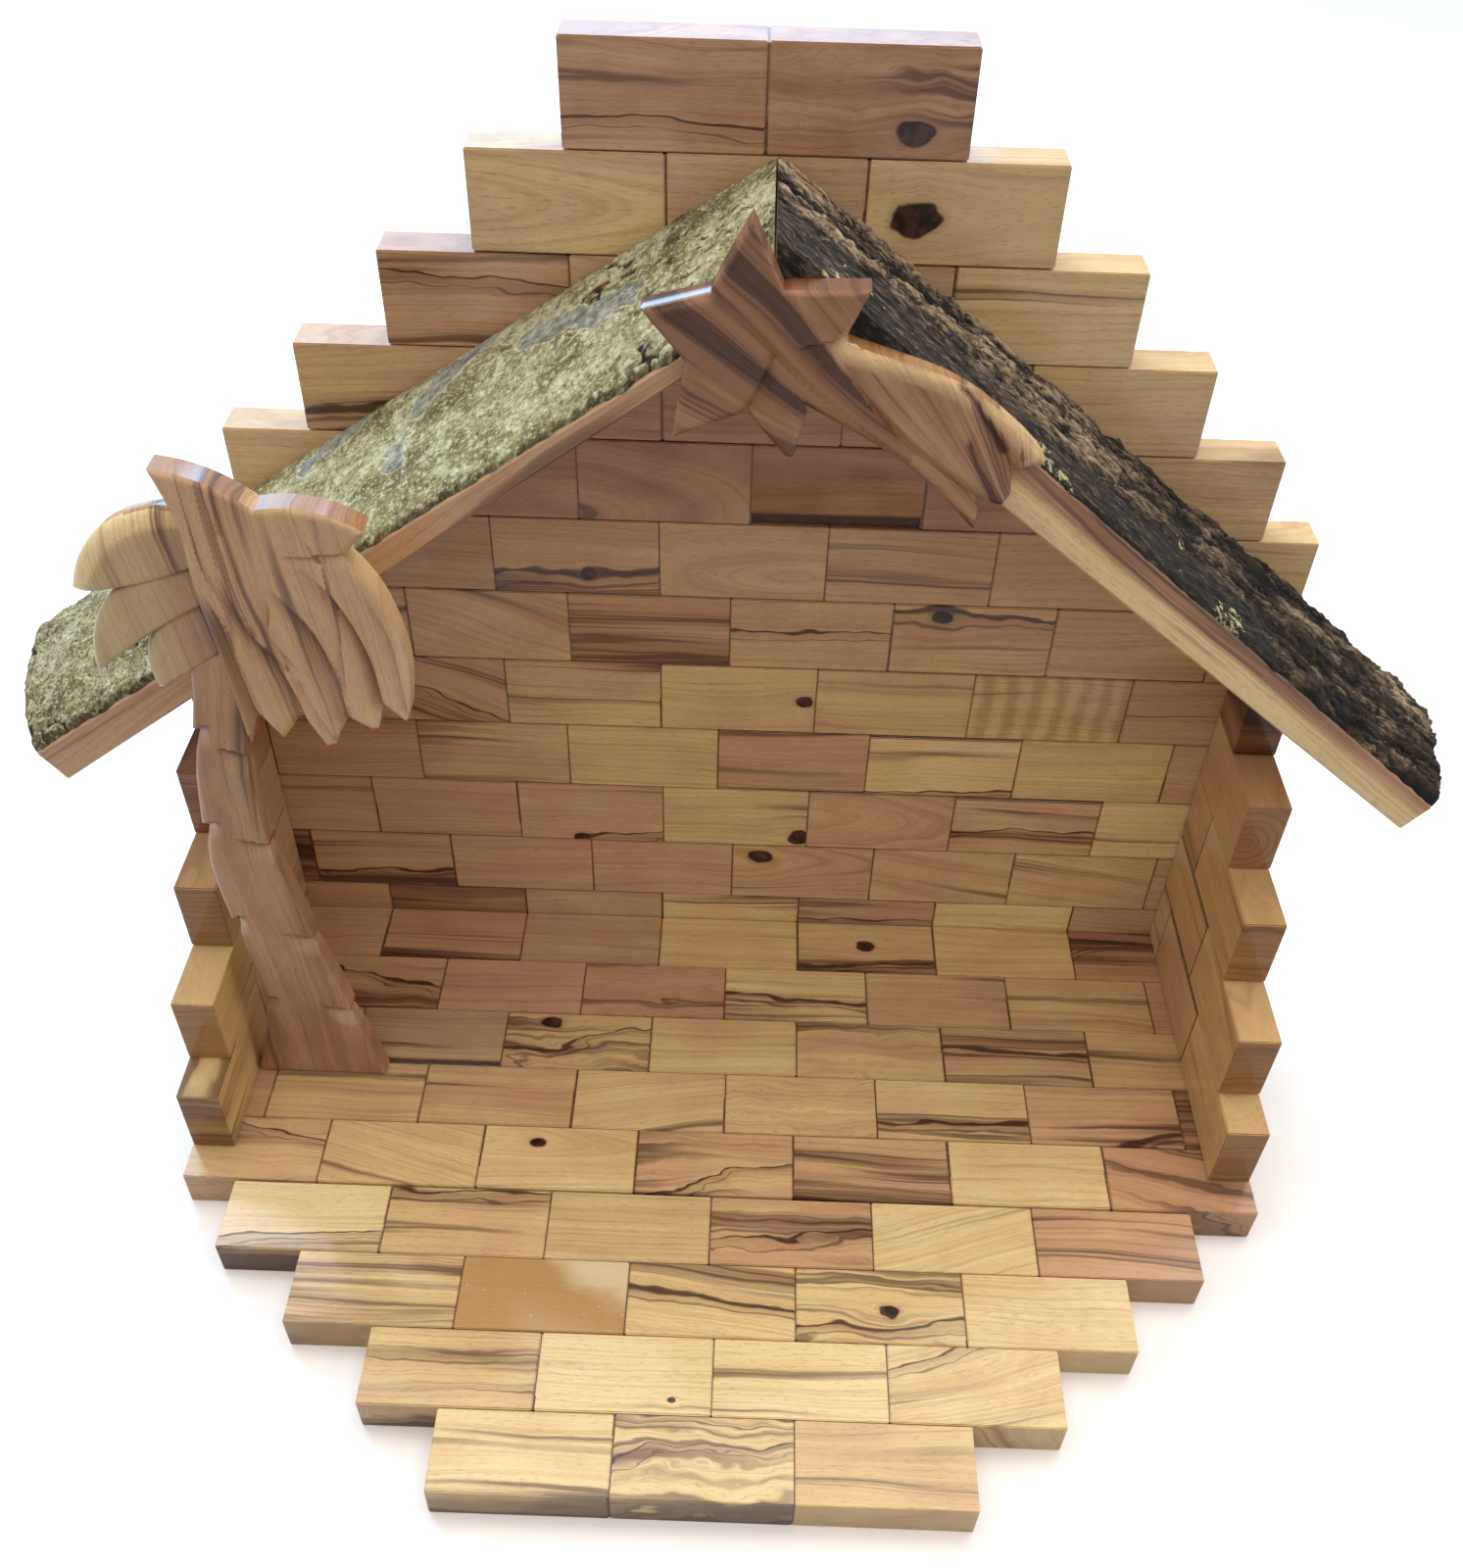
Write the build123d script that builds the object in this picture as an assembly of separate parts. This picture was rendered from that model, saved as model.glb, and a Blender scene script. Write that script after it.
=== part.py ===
# Nativity stable: glued hardwood bricks, a bark-covered roof, a carved palm tree and a carved comet.
# Millimetres. +X is to the right, +Y towards the back wall, +Z up. The origin is the middle of the
# floor's underside, which stands on the table.
import math
import os

from build123d import *

# Bricks, all cut to one size and glued
brick_length = 40.0
brick_height = 19.8
brick_thickness = 10.6
glue_line = 0.2
edge_ease = 0.4
shortest_brick = 8.0

# Floor of flat bricks, and the stepped apron before it; a shift is how far a course lies off centre
floor_width = 272.0
floor_shifts = [0.0, -0.6, -0.4, 0.6, -1.5]
apron_bricks = [6, 5, 4, 3]
apron_shifts = [-2.0, -1.0, 0.0, -1.4]
apron_seam = 0.6

# Back wall, from the bottom course up, with a stepped gable
wall_shifts = [0.0, 0.2, 0.7, -4.5, 0.5, -2.2, 0.5, 1.8, 1.5, 2.5, 2.6, 2.2]
gable_bricks = [6, 5, 4, 3, 2]

# Side walls, whose courses step back by half a brick as they rise
side_courses = 5
side_inset = 0.5
side_setback = 9.5
side_top_reach = 17.5

# Roof of two slabs sawn from the outside of a log; edge heights are at the front and at the back
roof_pitch = 34.95
ridge_shift = 4.6
roof_seat_cut = 2.5
roof_depth = 43.0
left_length = 200.0
right_length = 193.8
left_ridge_edges = (3.2, 9.6)
left_eave_edges = (9.4, 20.0)
right_ridge_edges = (11.6, 8.8)
right_eave_edges = (8.8, 13.0)
slab_crown = 1.6
end_slant = 5.5
end_bulge = 2.5

# Bark left on the slabs
left_bark = 2.6
right_bark = 3.4
bark_front_share = 0.8
bark_wave = 0.8
bark_wave_length = 47.0
bark_stations = 7

# Comet: a five-armed star with a curved tail, from one board; places are from the star's middle,
# and arms and notches are an angle and a radius
comet_off_ridge = (-5.0, -1.6)
comet_thickness = 6.0
tail_thickness = 4.0
comet_ease = 0.7
star_arms = [(87.6, 21.2), (164.7, 19.7), (234.5, 23.1), (294.3, 24.3), (23.8, 24.5)]
star_notches = [(126.5, 10.6), (201.0, 11.5), (273.5, 13.1), (3.2, 18.1), (54.5, 11.6)]
tail_top = [(15.0, 0.8), (28.0, -2.8), (44.3, -9.9), (58.8, -21.9)]
tail_tips = [(56.8, -23.5), (52.9, -24.2), (53.2, -29.3), (51.9, -31.8), (47.3, -31.0), (47.1, -37.4)]
tail_bottom = [(27.0, -20.4), (10.5, -10.0)]
tail_grooves = [[(16.2, -1.4), (30.0, -18.3), (47.3, -31.0)], [(39.6, -9.0), (46.9, -15.2), (52.9, -24.2)]]
star_crease = [(5.4, -1.2), (3.7, -7.6), (0.8, -13.1)]
groove_depth = 1.1
groove_half_width = 1.2
groove_run_out = 4.0

# Palm tree: one board with a leaning trunk, pleated fronds to the right and split ones to the left;
# places are from the left corner of its foot
palm_thickness = 6.5
palm_setback = 34.0
palm_gap = 0.3
palm_ease = 0.7
foot_width = 34.0
trunk_left = [(7.0, 29.2), (3.6, 75.2), (10.0, 122.2), (12.5, 132.0)]
trunk_right = [(26.2, 37.7), (18.4, 83.2), (19.9, 110.2), (22.5, 132.0)]
crown_right_lobe = [(32.6, 165.9), (42.6, 166.2), (53.0, 162.0)]
crown_right_side = [(48.0, 156.7), (56.0, 142.5), (55.6, 118.6)]
crown_teeth = [(50.9, 122.5), (48.4, 115.8), (43.3, 118.4), (38.4, 111.0),
               (34.2, 117.4), (28.3, 112.6), (23.8, 119.4), (21.2, 111.2)]
crown_throat = (18.8, 131.0)
crown_left_lobe = [(17.4, 160.0), (14.4, 173.6), (23.6, 171.4)]
frond_thickness = 5.0
frond_step = 0.7
left_fronds = [
    [(18.6, 164.6), (1.6, 160.0), (-8.4, 146.0), (2.0, 147.6), (19.6, 153.4)],
    [(18.6, 152.0), (-4.5, 140.8), (-8.4, 126.4), (2.0, 134.4), (19.6, 144.8)],
    [(18.6, 144.0), (3.2, 132.7), (3.0, 122.3), (9.6, 126.2), (19.6, 132.8)],
]
pleats = [
    [(38.4, 155.0), (46.4, 143.8), (50.9, 122.5)],
    [(31.2, 151.0), (39.8, 137.6), (43.3, 118.4)],
    [(24.2, 151.0), (28.0, 136.0), (34.2, 117.4)],
    [(20.6, 142.0), (22.2, 130.6), (23.8, 119.4)],
]
pleat_depth = 1.2
pleat_half_width = 1.8
notch_inward = 3.0
notch_depth = 2.6
notch_height = 5.5
left_notches = [29.0, 56.8, 86.8, 113.2]
right_notches = [25.2, 51.0, 80.9, 106.7]

# Places worked out from the sizes above
length_pitch = brick_length + glue_line
course_pitch = brick_height + glue_line
floor_depth = len(floor_shifts) * course_pitch
wall_face = floor_depth / 2
floor_front = -floor_depth / 2
floor_top = brick_thickness
plain_courses = len(wall_shifts) - len(gable_bricks)
side_outer = floor_width / 2 - side_inset
side_inner = side_outer - brick_thickness
side_top = floor_top + side_courses * course_pitch
roof_back = wall_face - glue_line
roof_rise = math.tan(math.radians(roof_pitch)) * (side_outer + ridge_shift)
ridge_height = side_top - roof_seat_cut + roof_rise
right_pitch = math.degrees(math.atan(roof_rise / (side_outer - ridge_shift)))
comet_back = roof_back - roof_depth - glue_line
comet_middle = (ridge_shift + comet_off_ridge[0], ridge_height + comet_off_ridge[1])
palm_back = floor_front + palm_setback + palm_thickness
palm_corner = (palm_gap - side_inner, floor_top + glue_line)
margin = 60.0


def spans(start, stop, joint):
    """Brick ends along a course from start to stop, with one of its joints at the given place."""
    first = math.ceil((start + shortest_brick - joint) / length_pitch)
    last = math.floor((stop - shortest_brick - joint) / length_pitch)
    joints = [joint + k * length_pitch for k in range(first, last + 1)]
    cuts = [start - glue_line / 2] + joints + [stop + glue_line / 2]
    return [(a + glue_line / 2, b - glue_line / 2) for a, b in zip(cuts, cuts[1:])]


def brick(x_range, y_range, z_range):
    """One brick between the given faces, with its sharp edges eased."""
    low = Vector(x_range[0], y_range[0], z_range[0])
    high = Vector(x_range[1], y_range[1], z_range[1])
    size = high - low
    block = Pos(*(low + high) * 0.5) * Box(size.X, size.Y, size.Z)
    return chamfer(block.edges(), edge_ease)


def bond(course):
    """Every second course has a joint on the centre line, the others half a brick off it."""
    return length_pitch / 2 if course % 2 == 0 else 0.0


def back_wall_course(course):
    shift = wall_shifts[course]
    left, right = -floor_width / 2, floor_width / 2
    if course >= plain_courses:
        half = (gable_bricks[course - plain_courses] * length_pitch - glue_line) / 2
        left, right = shift - half, shift + half
    low = course * course_pitch
    return [brick(ends, (wall_face, wall_face + brick_thickness), (low, low + brick_height))
            for ends in spans(left, right, bond(course) + shift)]


def floor_course(course):
    back = wall_face - glue_line - course * course_pitch
    return [brick(ends, (back - brick_height, back), (0, floor_top))
            for ends in spans(-floor_width / 2, floor_width / 2, bond(course) + floor_shifts[course])]


def apron_course(course):
    half = (apron_bricks[course] * length_pitch - glue_line) / 2
    shift = apron_shifts[course]
    joint = shift + apron_bricks[course] % 2 * length_pitch / 2
    back = floor_front - apron_seam - course * course_pitch
    return [brick(ends, (back - brick_height, back), (0, floor_top))
            for ends in spans(shift - half, shift + half, joint)]


def side_reach(course):
    """How far a side wall's course comes forward of the back wall."""
    if course == 0:
        return floor_depth - side_setback
    return side_top_reach + (side_courses - 1 - course) * length_pitch / 2


def side_wall_course(side, course):
    """Whole bricks from the front end back; the top is bevelled where the roof slab sits on it."""
    front = wall_face - side_reach(course)
    faces = sorted((side * side_inner, side * side_outer))
    low = floor_top + glue_line + course * course_pitch
    bricks = [brick(faces, ends, (low, low + brick_height))
              for ends in spans(front, wall_face - glue_line, front + length_pitch - glue_line / 2)]
    return [piece - above_roof_seat(side) for piece in bricks]


class RoofSide:
    """Places on one slab: along it from the ridge, across it from the back, up from its underside."""

    def __init__(self, side, pitch, length, ridge_edges, eave_edges):
        slope = math.radians(pitch)
        self.side = side
        self.length = length
        self.ridge_edges = ridge_edges
        self.eave_edges = eave_edges
        self.ridge = Vector(ridge_shift, roof_back, ridge_height)
        self.along = Vector(side * math.cos(slope), 0, -math.sin(slope))
        self.across = Vector(0, -1, 0)
        self.up = Vector(side * math.sin(slope), 0, math.cos(slope))

    def at(self, along, across, up):
        return self.ridge + self.along * along + self.across * across + self.up * up

    def edges(self, along):
        """Heights of the wood's front and back edges at a place along the slab."""
        share = along / self.length
        return [r + (e - r) * share for r, e in zip(self.ridge_edges, self.eave_edges)]


left_roof = RoofSide(-1, roof_pitch, left_length, left_ridge_edges, left_eave_edges)
right_roof = RoofSide(1, right_pitch, right_length, right_ridge_edges, right_eave_edges)


def above_roof_seat(side):
    """Everything over the underside of a slab, which bevels the wall's top to the pitch."""
    roof = left_roof if side < 0 else right_roof
    far, near = roof.length + margin, roof_depth + margin
    corners = [(-margin, -margin), (far, -margin), (far, near), (-margin, near)]
    rim = Polyline([roof.at(a, b, -glue_line) for a, b in corners], close=True)
    return extrude(make_face(rim), amount=margin, dir=roof.up)


def slab_limits(roof):
    """The room of one slab: from the ridge's mitre to an eave end sawn in a shallow curve."""
    end_back = (roof.length + end_slant, 0)
    end_middle = (roof.length + end_slant / 2 + end_bulge, roof_depth / 2)
    end_front = (roof.length, roof_depth)
    square = [end_front, (end_front[0], roof_depth + margin), (-margin, roof_depth + margin),
              (-margin, -margin), (end_back[0], -margin), end_back]
    rim = [ThreePointArc(*[roof.at(*place, -margin) for place in (end_back, end_middle, end_front)]),
           Polyline([roof.at(*place, -margin) for place in square])]
    plan = extrude(make_face(rim), amount=3 * margin, dir=roof.up)
    reach = 2 * max(left_length, right_length)
    middle = ridge_shift + roof.side * (reach + glue_line) / 2
    return plan & Pos(middle, roof_back - roof_depth / 2, ridge_height) * Box(reach, reach, 2 * ridge_height)


def slab_section(roof, along, low_edges, high_edges):
    """A section across a slab or its bark, between heights at the front and back; the top is crowned."""
    back_low = roof.at(along, 0, low_edges[1])
    front_low = roof.at(along, roof_depth, low_edges[0])
    front_high = roof.at(along, roof_depth, high_edges[0])
    back_high = roof.at(along, 0, high_edges[1])
    crown = roof.at(along, roof_depth / 2, sum(high_edges) / 2 + slab_crown)
    under = Line(back_low, front_low)
    if max(low_edges) > 0:
        hollow = roof.at(along, roof_depth / 2, sum(low_edges) / 2 + slab_crown)
        under = ThreePointArc(back_low, hollow, front_low)
    over = ThreePointArc(front_high, crown, back_high)
    return make_face([under, Line(front_low, front_high), over, Line(back_high, back_low)])


def roof_slab(roof):
    ends = [-margin / 2, roof.length + margin / 2]
    sections = [slab_section(roof, along, (0, 0), roof.edges(along)) for along in ends]
    return [loft(sections) & slab_limits(roof)]


def roof_bark(roof, thickness):
    """Bark over the wood of a slab, swelling and thinning along it."""
    start, stop = -margin / 2, roof.length + margin / 2
    sections = []
    for k in range(bark_stations):
        along = start + (stop - start) * k / (bark_stations - 1)
        wave = bark_wave / 2 * math.sin(2 * math.pi * along / bark_wave_length)
        front, back = roof.edges(along)
        high = [front + thickness * bark_front_share - wave, back + thickness + wave]
        sections.append(slab_section(roof, along, (front + glue_line, back + glue_line), high))
    return [loft(sections) & slab_limits(roof)]


def facing_front(back):
    """A plane whose sketch lies in X and Z and grows towards the front."""
    return Plane(origin=(0, back, 0), x_dir=(1, 0, 0), z_dir=(0, -1, 0))


def placed(points, corner):
    return [(corner[0] + x, corner[1] + z) for x, z in points]


def board(edges, back, thickness):
    """A flat board of the given outline, standing upright."""
    return extrude(facing_front(back) * make_face(edges), amount=thickness)


def front_edges(blank):
    return blank.faces().filter_by(Axis.Y).sort_by(Axis.Y)[0].edges()


def groove(points, front, depth, half_width):
    """A V cut along an arc on a board's front face, run out past the arc's end."""
    arc = facing_front(front) * ThreePointArc(*points)
    run_out = Line(arc @ 1, arc @ 1 + (arc % 1) * groove_run_out)
    heading = arc % 0
    plane = Plane(origin=arc @ 0, x_dir=heading.cross(Vector(0, -1, 0)), z_dir=heading)
    profile = plane * make_face(Polyline((-half_width, -depth), (half_width, -depth), (0, depth), close=True))
    return sweep(profile, path=Wire([arc, run_out]))


def comet_star():
    outline = []
    for arm, notch in zip(star_arms, star_notches):
        for angle, radius in (arm, notch):
            turn = math.radians(angle)
            outline.append((radius * math.cos(turn), radius * math.sin(turn)))
    star = board(Polyline(placed(outline, comet_middle), close=True), comet_back, comet_thickness)
    star = chamfer(front_edges(star), comet_ease)
    top = Spline(*placed(tail_top, comet_middle))
    tips = Polyline(placed(tail_top[-1:] + tail_tips, comet_middle))
    bottom = Spline(*placed(tail_tips[-1:] + tail_bottom, comet_middle))
    root = Line(*placed([tail_bottom[-1], tail_top[0]], comet_middle))
    tail = board([top, tips, bottom, root], comet_back, tail_thickness)
    for course in tail_grooves:
        points = placed(course, comet_middle)
        tail -= groove(points, comet_back - tail_thickness, groove_depth, groove_half_width)
    points = placed(star_crease, comet_middle)
    star -= groove(points, comet_back - comet_thickness, groove_depth, groove_half_width)
    return [star + tail]


def trunk_notch(flank, height, inward):
    """A chip cut into a front corner of the trunk, with a flat ledge over it, as old fronds leave."""
    level = Line((-floor_width, height), (floor_width, height))
    edge = flank.find_intersection_points(level)[0].X
    outside = edge - inward * notch_height
    chip = [(edge + inward * notch_inward, height), (outside, height),
            (outside, height - notch_height), (edge, height - notch_height)]
    return board(Polyline(chip, close=True), palm_back - palm_thickness + notch_depth, notch_depth)


def palm_tree():
    foot = placed([(0, 0), (foot_width, 0)], palm_corner)
    left = placed(trunk_left, palm_corner)
    right = placed(trunk_right, palm_corner)
    left_flank = Spline(foot[0], *left)
    right_flank = Spline(foot[1], *right)
    head = Line(left[-1], right[-1])
    trunk = board([left_flank, head, right_flank, Line(*foot)], palm_back, palm_thickness)
    flanks = front_edges(trunk).sort_by(SortBy.LENGTH)[-2:]
    trunk = chamfer(flanks, palm_ease)

    lobe = placed(crown_right_lobe, palm_corner)
    side = placed(crown_right_side, palm_corner)
    teeth = placed(crown_teeth, palm_corner)
    throat = placed([crown_throat], palm_corner)
    tip = placed(crown_left_lobe, palm_corner)
    rim = [ThreePointArc(*lobe), Line(lobe[-1], side[0]), ThreePointArc(*side),
           Polyline(side[-1:] + teeth + throat + tip[:2]), ThreePointArc(tip[1], tip[2], lobe[0])]
    crown = board(rim, palm_back, palm_thickness)
    tree = trunk + chamfer(front_edges(crown), palm_ease)

    for order, frond in enumerate(left_fronds):
        root, shoulder, end, under, heel = placed(frond, palm_corner)
        rim = [ThreePointArc(root, shoulder, end), ThreePointArc(end, under, heel), Line(heel, root)]
        tree += board(rim, palm_back, frond_thickness - order * frond_step)

    for pleat in pleats:
        points = placed(pleat, palm_corner)
        tree -= groove(points, palm_back - palm_thickness, pleat_depth, pleat_half_width)
    for height in left_notches:
        tree -= trunk_notch(left_flank, palm_corner[1] + height, 1)
    for height in right_notches:
        tree -= trunk_notch(right_flank, palm_corner[1] + height, -1)
    return [tree]


def all_parts():
    """Every piece by its name."""
    parts = {}
    for course in range(len(wall_shifts)):
        parts[f"back_wall_course_{course + 1:02d}"] = back_wall_course(course)
    for course in range(len(floor_shifts)):
        parts[f"floor_course_{course + 1}"] = floor_course(course)
    for course in range(len(apron_bricks)):
        parts[f"apron_course_{course + 1}"] = apron_course(course)
    for name, side in (("left", -1), ("right", 1)):
        for course in range(side_courses):
            parts[f"{name}_wall_course_{course + 1}"] = side_wall_course(side, course)
    parts["roof_left_slab"] = roof_slab(left_roof)
    parts["roof_right_slab"] = roof_slab(right_roof)
    parts["roof_left_bark"] = roof_bark(left_roof, left_bark)
    parts["roof_right_bark"] = roof_bark(right_roof, right_bark)
    parts["palm_tree"] = palm_tree()
    parts["comet_star"] = comet_star()
    return parts


os.makedirs("parts", exist_ok=True)
for part_name, solids in all_parts().items():
    shape = solids[0] if len(solids) == 1 else Compound(children=solids)
    export_step(shape, f"parts/{part_name}.step")
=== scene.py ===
import math
import random

import bmesh
import bpy
import numpy as np
from mathutils import Matrix, Vector, noise
from mathutils.bvhtree import BVHTree
from mathutils.geometry import delaunay_2d_cdt


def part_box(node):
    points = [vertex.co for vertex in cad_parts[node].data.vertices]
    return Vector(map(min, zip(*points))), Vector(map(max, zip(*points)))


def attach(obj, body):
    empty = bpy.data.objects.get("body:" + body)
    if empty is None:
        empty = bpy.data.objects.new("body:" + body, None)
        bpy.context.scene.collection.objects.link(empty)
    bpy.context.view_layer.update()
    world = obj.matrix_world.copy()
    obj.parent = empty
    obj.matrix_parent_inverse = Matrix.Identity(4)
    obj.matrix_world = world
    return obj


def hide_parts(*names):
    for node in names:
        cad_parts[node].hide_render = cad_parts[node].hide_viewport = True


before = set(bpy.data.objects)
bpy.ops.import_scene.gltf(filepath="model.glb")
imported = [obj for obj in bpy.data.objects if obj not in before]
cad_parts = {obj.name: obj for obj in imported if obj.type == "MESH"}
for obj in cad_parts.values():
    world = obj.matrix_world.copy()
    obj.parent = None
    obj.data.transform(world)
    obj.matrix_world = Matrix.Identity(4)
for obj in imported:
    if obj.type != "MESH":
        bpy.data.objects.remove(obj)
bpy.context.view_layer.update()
MM = 0.001

# One of the noises used starts from the clock unless it is given a seed
noise.seed_set(3)


# Shader nodes

class Nodes:
    """A node tree being filled, with short calls for the nodes that the finishes use."""

    def __init__(self, tree):
        self.tree = tree

    def add(self, kind, **settings):
        node = self.tree.nodes.new(kind)
        for name, value in settings.items():
            setattr(node, name, value)
        return node

    def put(self, socket, value):
        if isinstance(value, bpy.types.NodeSocket):
            self.tree.links.new(value, socket)
        elif hasattr(value, "__len__") and len(value) == 3 and socket.type == "RGBA":
            socket.default_value = (*value, 1.0)
        else:
            socket.default_value = value

    def maths(self, operation, *values):
        node = self.add("ShaderNodeMath", operation=operation)
        for socket, value in zip(node.inputs, values):
            self.put(socket, value)
        return node.outputs[0]

    def total(self, first, *rest):
        for value in rest:
            first = self.maths("ADD", first, value)
        return first

    def times(self, first, *rest):
        for value in rest:
            first = self.maths("MULTIPLY", first, value)
        return first

    def less(self, first, second):
        return self.maths("SUBTRACT", first, second)

    def hypot(self, first, second):
        return self.maths("SQRT", self.total(self.times(first, first), self.times(second, second)))

    def parts(self, vector):
        node = self.add("ShaderNodeSeparateXYZ")
        self.put(node.inputs[0], vector)
        return node.outputs

    def join(self, x, y, z):
        node = self.add("ShaderNodeCombineXYZ")
        for socket, value in zip(node.inputs, (x, y, z)):
            self.put(socket, value)
        return node.outputs[0]

    def scaled(self, vector, by):
        node = self.add("ShaderNodeVectorMath", operation="MULTIPLY")
        self.put(node.inputs[0], vector)
        self.put(node.inputs[1], by)
        return node.outputs[0]

    def moved(self, vector, by):
        node = self.add("ShaderNodeVectorMath", operation="ADD")
        self.put(node.inputs[0], vector)
        self.put(node.inputs[1], by)
        return node.outputs[0]

    def noise(self, place, scale=1.0, detail=2.0, roughness=0.5):
        node = self.add("ShaderNodeTexNoise", noise_dimensions="3D")
        self.put(node.inputs["Vector"], place)
        self.put(node.inputs["Scale"], scale)
        self.put(node.inputs["Detail"], detail)
        self.put(node.inputs["Roughness"], roughness)
        return node.outputs[0]

    def cells(self, place, scale=1.0, feature="F1"):
        node = self.add("ShaderNodeTexVoronoi", voronoi_dimensions="3D", feature=feature)
        self.put(node.inputs["Vector"], place)
        self.put(node.inputs["Scale"], scale)
        return node.outputs["Distance"]

    def rise(self, value, low, high, start=0.0, end=1.0):
        node = self.add("ShaderNodeMapRange", interpolation_type="SMOOTHSTEP", clamp=True)
        for socket, number in zip(node.inputs, (value, low, high, start, end)):
            self.put(socket, number)
        return node.outputs[0]

    def ramp(self, value, stops):
        node = self.add("ShaderNodeValToRGB")
        elements = node.color_ramp.elements
        while len(elements) < len(stops):
            elements.new(1.0)
        for element, (place, colour) in zip(elements, stops):
            element.position = place
            element.color = (*colour, 1.0)
        self.put(node.inputs[0], value)
        return node.outputs[0]

    def mix(self, share, first, second, blend="MIX"):
        node = self.add("ShaderNodeMix", data_type="RGBA", blend_type=blend, clamp_factor=True)
        self.put(node.inputs["Factor"], share)
        self.put(node.inputs[6], first)
        self.put(node.inputs[7], second)
        return node.outputs[2]

    def group(self, tree, **values):
        node = self.add("ShaderNodeGroup")
        node.node_tree = tree
        for name, value in values.items():
            self.put(node.inputs[name], value)
        return node.outputs

    def attribute(self, name):
        node = self.add("ShaderNodeAttribute", attribute_name=name)
        return node.outputs

    def sway(self, value, by):
        """A value that drifts about a half, turned into one that drifts about nothing."""
        return self.times(self.less(value, 0.5), by)

    def emboss(self, shader, height, strength, depth):
        """Relief on a shader's surface."""
        node = self.add("ShaderNodeBump")
        for name, value in (("Strength", strength), ("Distance", depth), ("Height", height)):
            self.put(node.inputs[name], value)
        self.put(shader.inputs["Normal"], node.outputs[0])


class Paint:
    """A colour that is built up in coats."""

    def __init__(self, nodes, colour):
        self.nodes = nodes
        self.colour = colour

    def over(self, tint, *shares):
        """Lays a colour over the last, as far as the shares multiplied say."""
        self.colour = self.nodes.mix(self.nodes.times(*shares), self.colour, tint)

    def stain(self, tint, *shares):
        """Lets a tint soak in, so that what lies under it still shows."""
        self.over(self.nodes.mix(1.0, self.colour, tint, "MULTIPLY"), *shares)


def linear(red, green, blue):
    """A colour given as it looks on a screen, 0 to 255, in the shader's linear values."""
    shares = [c / 255 for c in (red, green, blue)]
    return tuple(c / 12.92 if c <= 0.04045 else ((c + 0.055) / 1.055) ** 2.4 for c in shares)


def new_group(name, inputs, outputs):
    """An empty shader node group with named sockets, and its input and output sockets."""
    tree = bpy.data.node_groups.new(name, "ShaderNodeTree")
    for socket, kind in inputs:
        tree.interface.new_socket(socket, in_out="INPUT", socket_type="NodeSocket" + kind)
    for socket, kind in outputs:
        tree.interface.new_socket(socket, in_out="OUTPUT", socket_type="NodeSocket" + kind)
    nodes = Nodes(tree)
    return tree, nodes, nodes.add("NodeGroupInput").outputs, nodes.add("NodeGroupOutput").inputs


def new_finish(name):
    """A new material, its nodes and its shader."""
    material = bpy.data.materials.new(name)
    material.use_nodes = True
    return material, Nodes(material.node_tree), material.node_tree.nodes["Principled BSDF"]


# Olive wood, figured in three dimensions, so that faces, edges and end grain agree

CUT_NUMBERS = ("seed", "tone", "grey", "heart", "resin")
CUT_VECTORS = ("pith", "tilt", "knot", "vein")
GRAIN_DEPTH = 0.2 * MM
LACQUER_ROUGHNESS = 0.10
CREAM = linear(239, 212, 156)
STRAW = linear(227, 193, 136)
TAN = linear(208, 168, 124)
ROSY = linear(200, 153, 116)
BROWN = linear(158, 114, 82)
LINE_TINT = linear(190, 150, 118)
PLUM = linear(126, 84, 62)
HEART_DARK = linear(56, 33, 27)
KNOT_RIM = linear(92, 54, 36)
KNOT_DARK = linear(30, 20, 18)
KNOT_RED = linear(78, 50, 40)
AMBER = linear(182, 140, 84)
AMBER_PALE = linear(222, 198, 158)
GREYED = linear(198, 201, 206)
CURL_SHADE = linear(205, 176, 140)
END_AND_TOP_SHADE_TINT = linear(196, 176, 156)


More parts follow.
